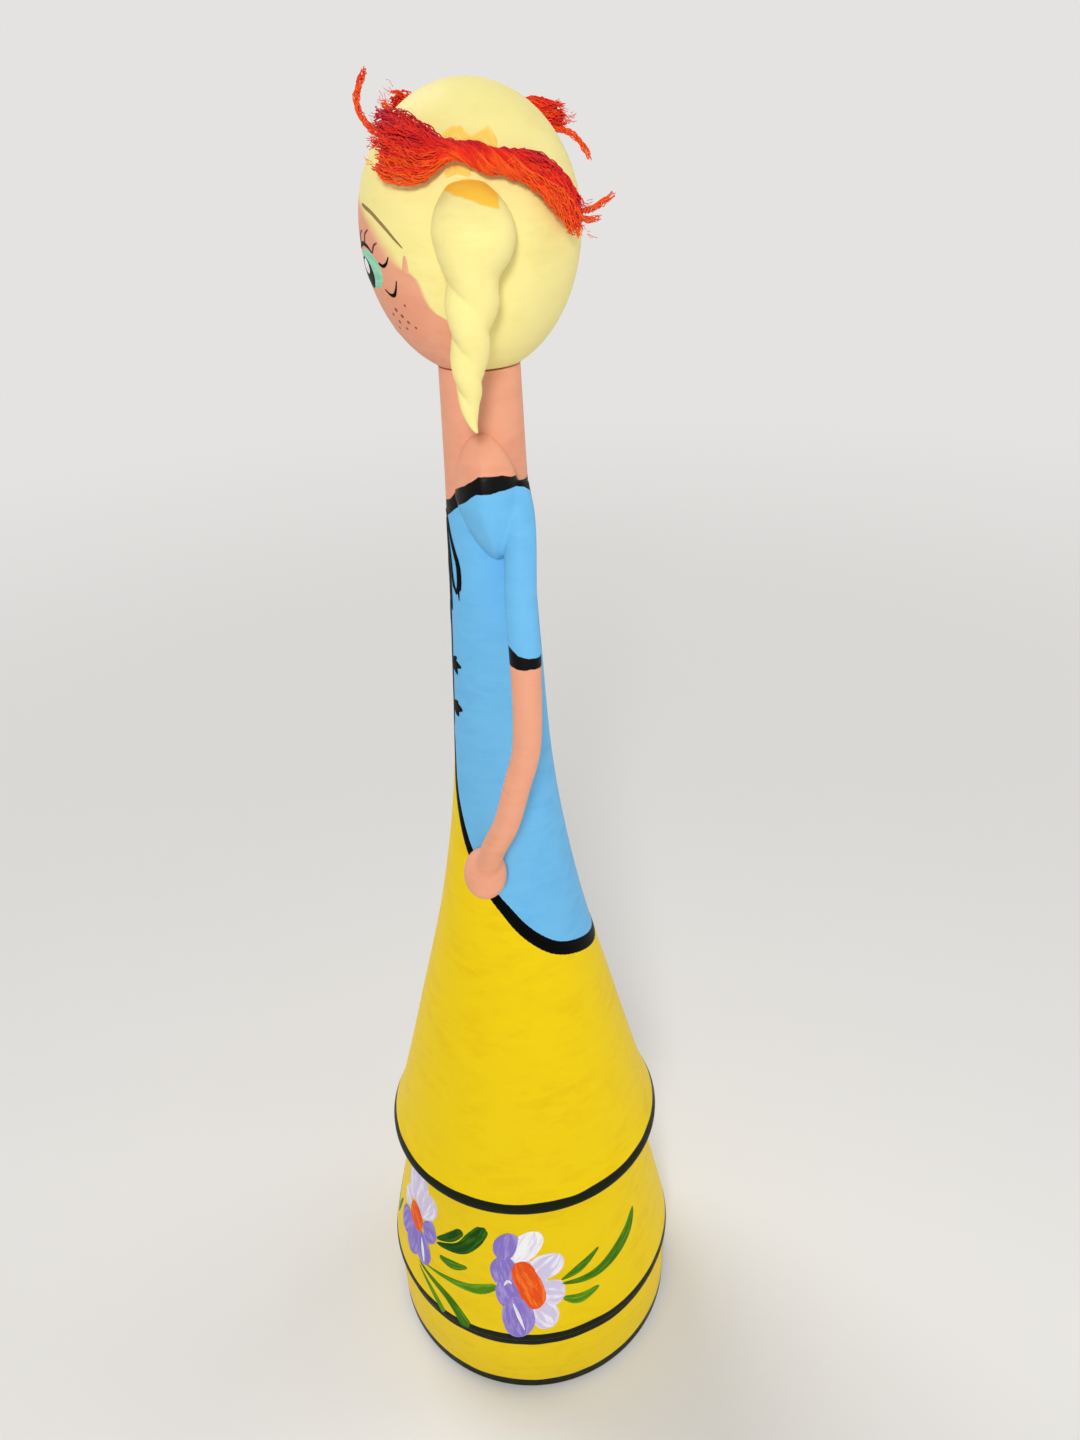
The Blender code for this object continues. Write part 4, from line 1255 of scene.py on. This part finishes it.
ridingPieces = {  # what rides on each body, the CAD node it stands for, its slot
    "stand": (
        (foot, "foot_disc", "yellow_paint"),
        (petticoat, "petticoat_tier", "yellow_paint"),
        (body, "body", "sky_blue_paint"),
        (leftArm, "left_arm", "skin_paint"),
        (rightArm, "right_arm", "skin_paint"),
        (petticoatFlowers, None, "yellow_paint"),
        (bodiceLines, None, "sky_blue_paint"),
    ),
    "turning_head": (
        (head, "head", "straw_hair_paint"),
        (leftPlait, "left_plait", "straw_hair_paint"),
        (rightPlait, "right_plait", "straw_hair_paint"),
        *((piece, node, "red_yarn") for piece, node in zip(leftBow, ("left_bow", None, None))),
        *((piece, node, "red_yarn") for piece, node in zip(rightBow, ("right_bow", None, None))),
        (faceLines, None, "skin_paint"),
    ),
}
for carrier, pieces in ridingPieces.items():
    for piece, node, slot in pieces:
        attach(piece, carrier)
        if node:
            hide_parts(node)
print("pieces ride on their bodies")


# Floor, light and camera

studio = {
    "floor": (235, 233, 230),
    "reach": (0.3, 1.0, 3.0, 12.0),
    "backdrop": (228, 227, 225),  # what the far floor fades to, and the sky as the camera sees it
    "fade": (0.08, 0.8),  # metres from the doll over which the floor fades
    "skyStrength": 0.29,
    "lamps": {
        "key": {"kind": "AREA", "place": (0.42, -0.06, 0.40), "size": 0.10, "power": 1.3},
        "fill": {"kind": "AREA", "place": (0.45, 0.45, 0.30), "size": 0.6, "power": 0.3},
        "far": {"kind": "SUN", "place": (-0.65, -0.50, 0.80), "spread": 45, "power": 1.4},
        "back": {"kind": "SUN", "place": (-0.25, 0.85, 0.60), "spread": 45, "power": 0.8},
    },
    "target": (0, 0, 0.13),
}


def backgroundRays(tree):  # what the camera sees, straight or in a reflection
    path = put("ShaderNodeLightPath", {}, tree=tree).node.outputs
    seen = calc("MAXIMUM", path["Is Camera Ray"], path["Is Glossy Ray"])
    return calc("MAXIMUM", seen, path["Is Transmission Ray"])


def studioFloor():
    material, shader, where = newFinish("paleFloor", 0.8, 0.2)
    speckle = times(cloud(where, 40.0, 2.0), 0.06)
    link(blendColor(speckle, paintColor(*studio["floor"]), (0.7, 0.68, 0.64, 1)), shader, "Base Color")
    x, y, _ = parts(where)
    away = calc("SQRT", plus(times(x, x), times(y, y)))
    faded = times(ramp(away, *studio["fade"]), backgroundRays(material.node_tree))
    glow = put("ShaderNodeEmission", {"Color": paintColor(*studio["backdrop"])}, tree=material.node_tree)
    mixed = put("ShaderNodeMixShader", {0: faded, 1: shader.outputs[0], 2: glow})
    link(mixed, material.node_tree.nodes["Material Output"], "Surface")
    made = turnedPiece("studioFloor", [(radius, 0) for radius in (0.0, *studio["reach"])], material, 96, 180)
    if made.data.polygons[0].normal.z < 0:
        made.data.flip_normals()


def studioSky():
    world = bpy.data.worlds.new("softSky")
    scene.world = world
    world.use_nodes = True
    sky = world.node_tree.nodes["Background"]
    seen = backgroundRays(world.node_tree)
    link(blendColor(seen, (1, 1, 1, 1), paintColor(*studio["backdrop"])), sky, "Color")
    level = {"Value": seen, "To Min": studio["skyStrength"], "To Max": 1.0}
    link(put("ShaderNodeMapRange", level), sky, "Strength")


def studioLamp(name, kind, place, power, size=0, spread=0):
    light = bpy.data.lights.new(name + "Light", kind)
    light.energy = power
    if kind == "AREA":
        light.shape = "DISK"
        light.size = size
    else:
        light.angle = radians(spread)
    made = newObject(name + "Light", light)
    made.location = place
    made.rotation_euler = (Vector(studio["target"]) - made.location).to_track_quat("-Z", "Y").to_euler()


photoView = {
    "distance": 0.157,  # metres from the doll's axis
    "height": 1.51822,  # camera height over that distance
    "azimuth": 88.0,
    "pitch": 30.3266,
    "roll": 2.3349,
    "yaw": 2.37,
    "lens": 36 * 1081 / 1440,
}


def photoCamera():
    lens = bpy.data.cameras.new("photoCamera")
    lens.lens = photoView["lens"]
    lens.sensor_width = 36
    lens.sensor_fit = "AUTO"
    lens.clip_start = 0.005
    made = newObject("photoCamera", lens)
    spot = Matrix.Translation((0, -photoView["distance"], photoView["height"] * photoView["distance"]))
    aim = turnedBy(90 - photoView["pitch"], "X") @ turnedBy(-photoView["roll"], "Z")
    made.matrix_world = turnedBy(photoView["azimuth"], "Z") @ spot @ turnedBy(-photoView["yaw"], "Z") @ aim
    scene.camera = made


studioFloor()
studioSky()
for name, lamp in studio["lamps"].items():
    studioLamp(name, **lamp)
photoCamera()
print("studio set")
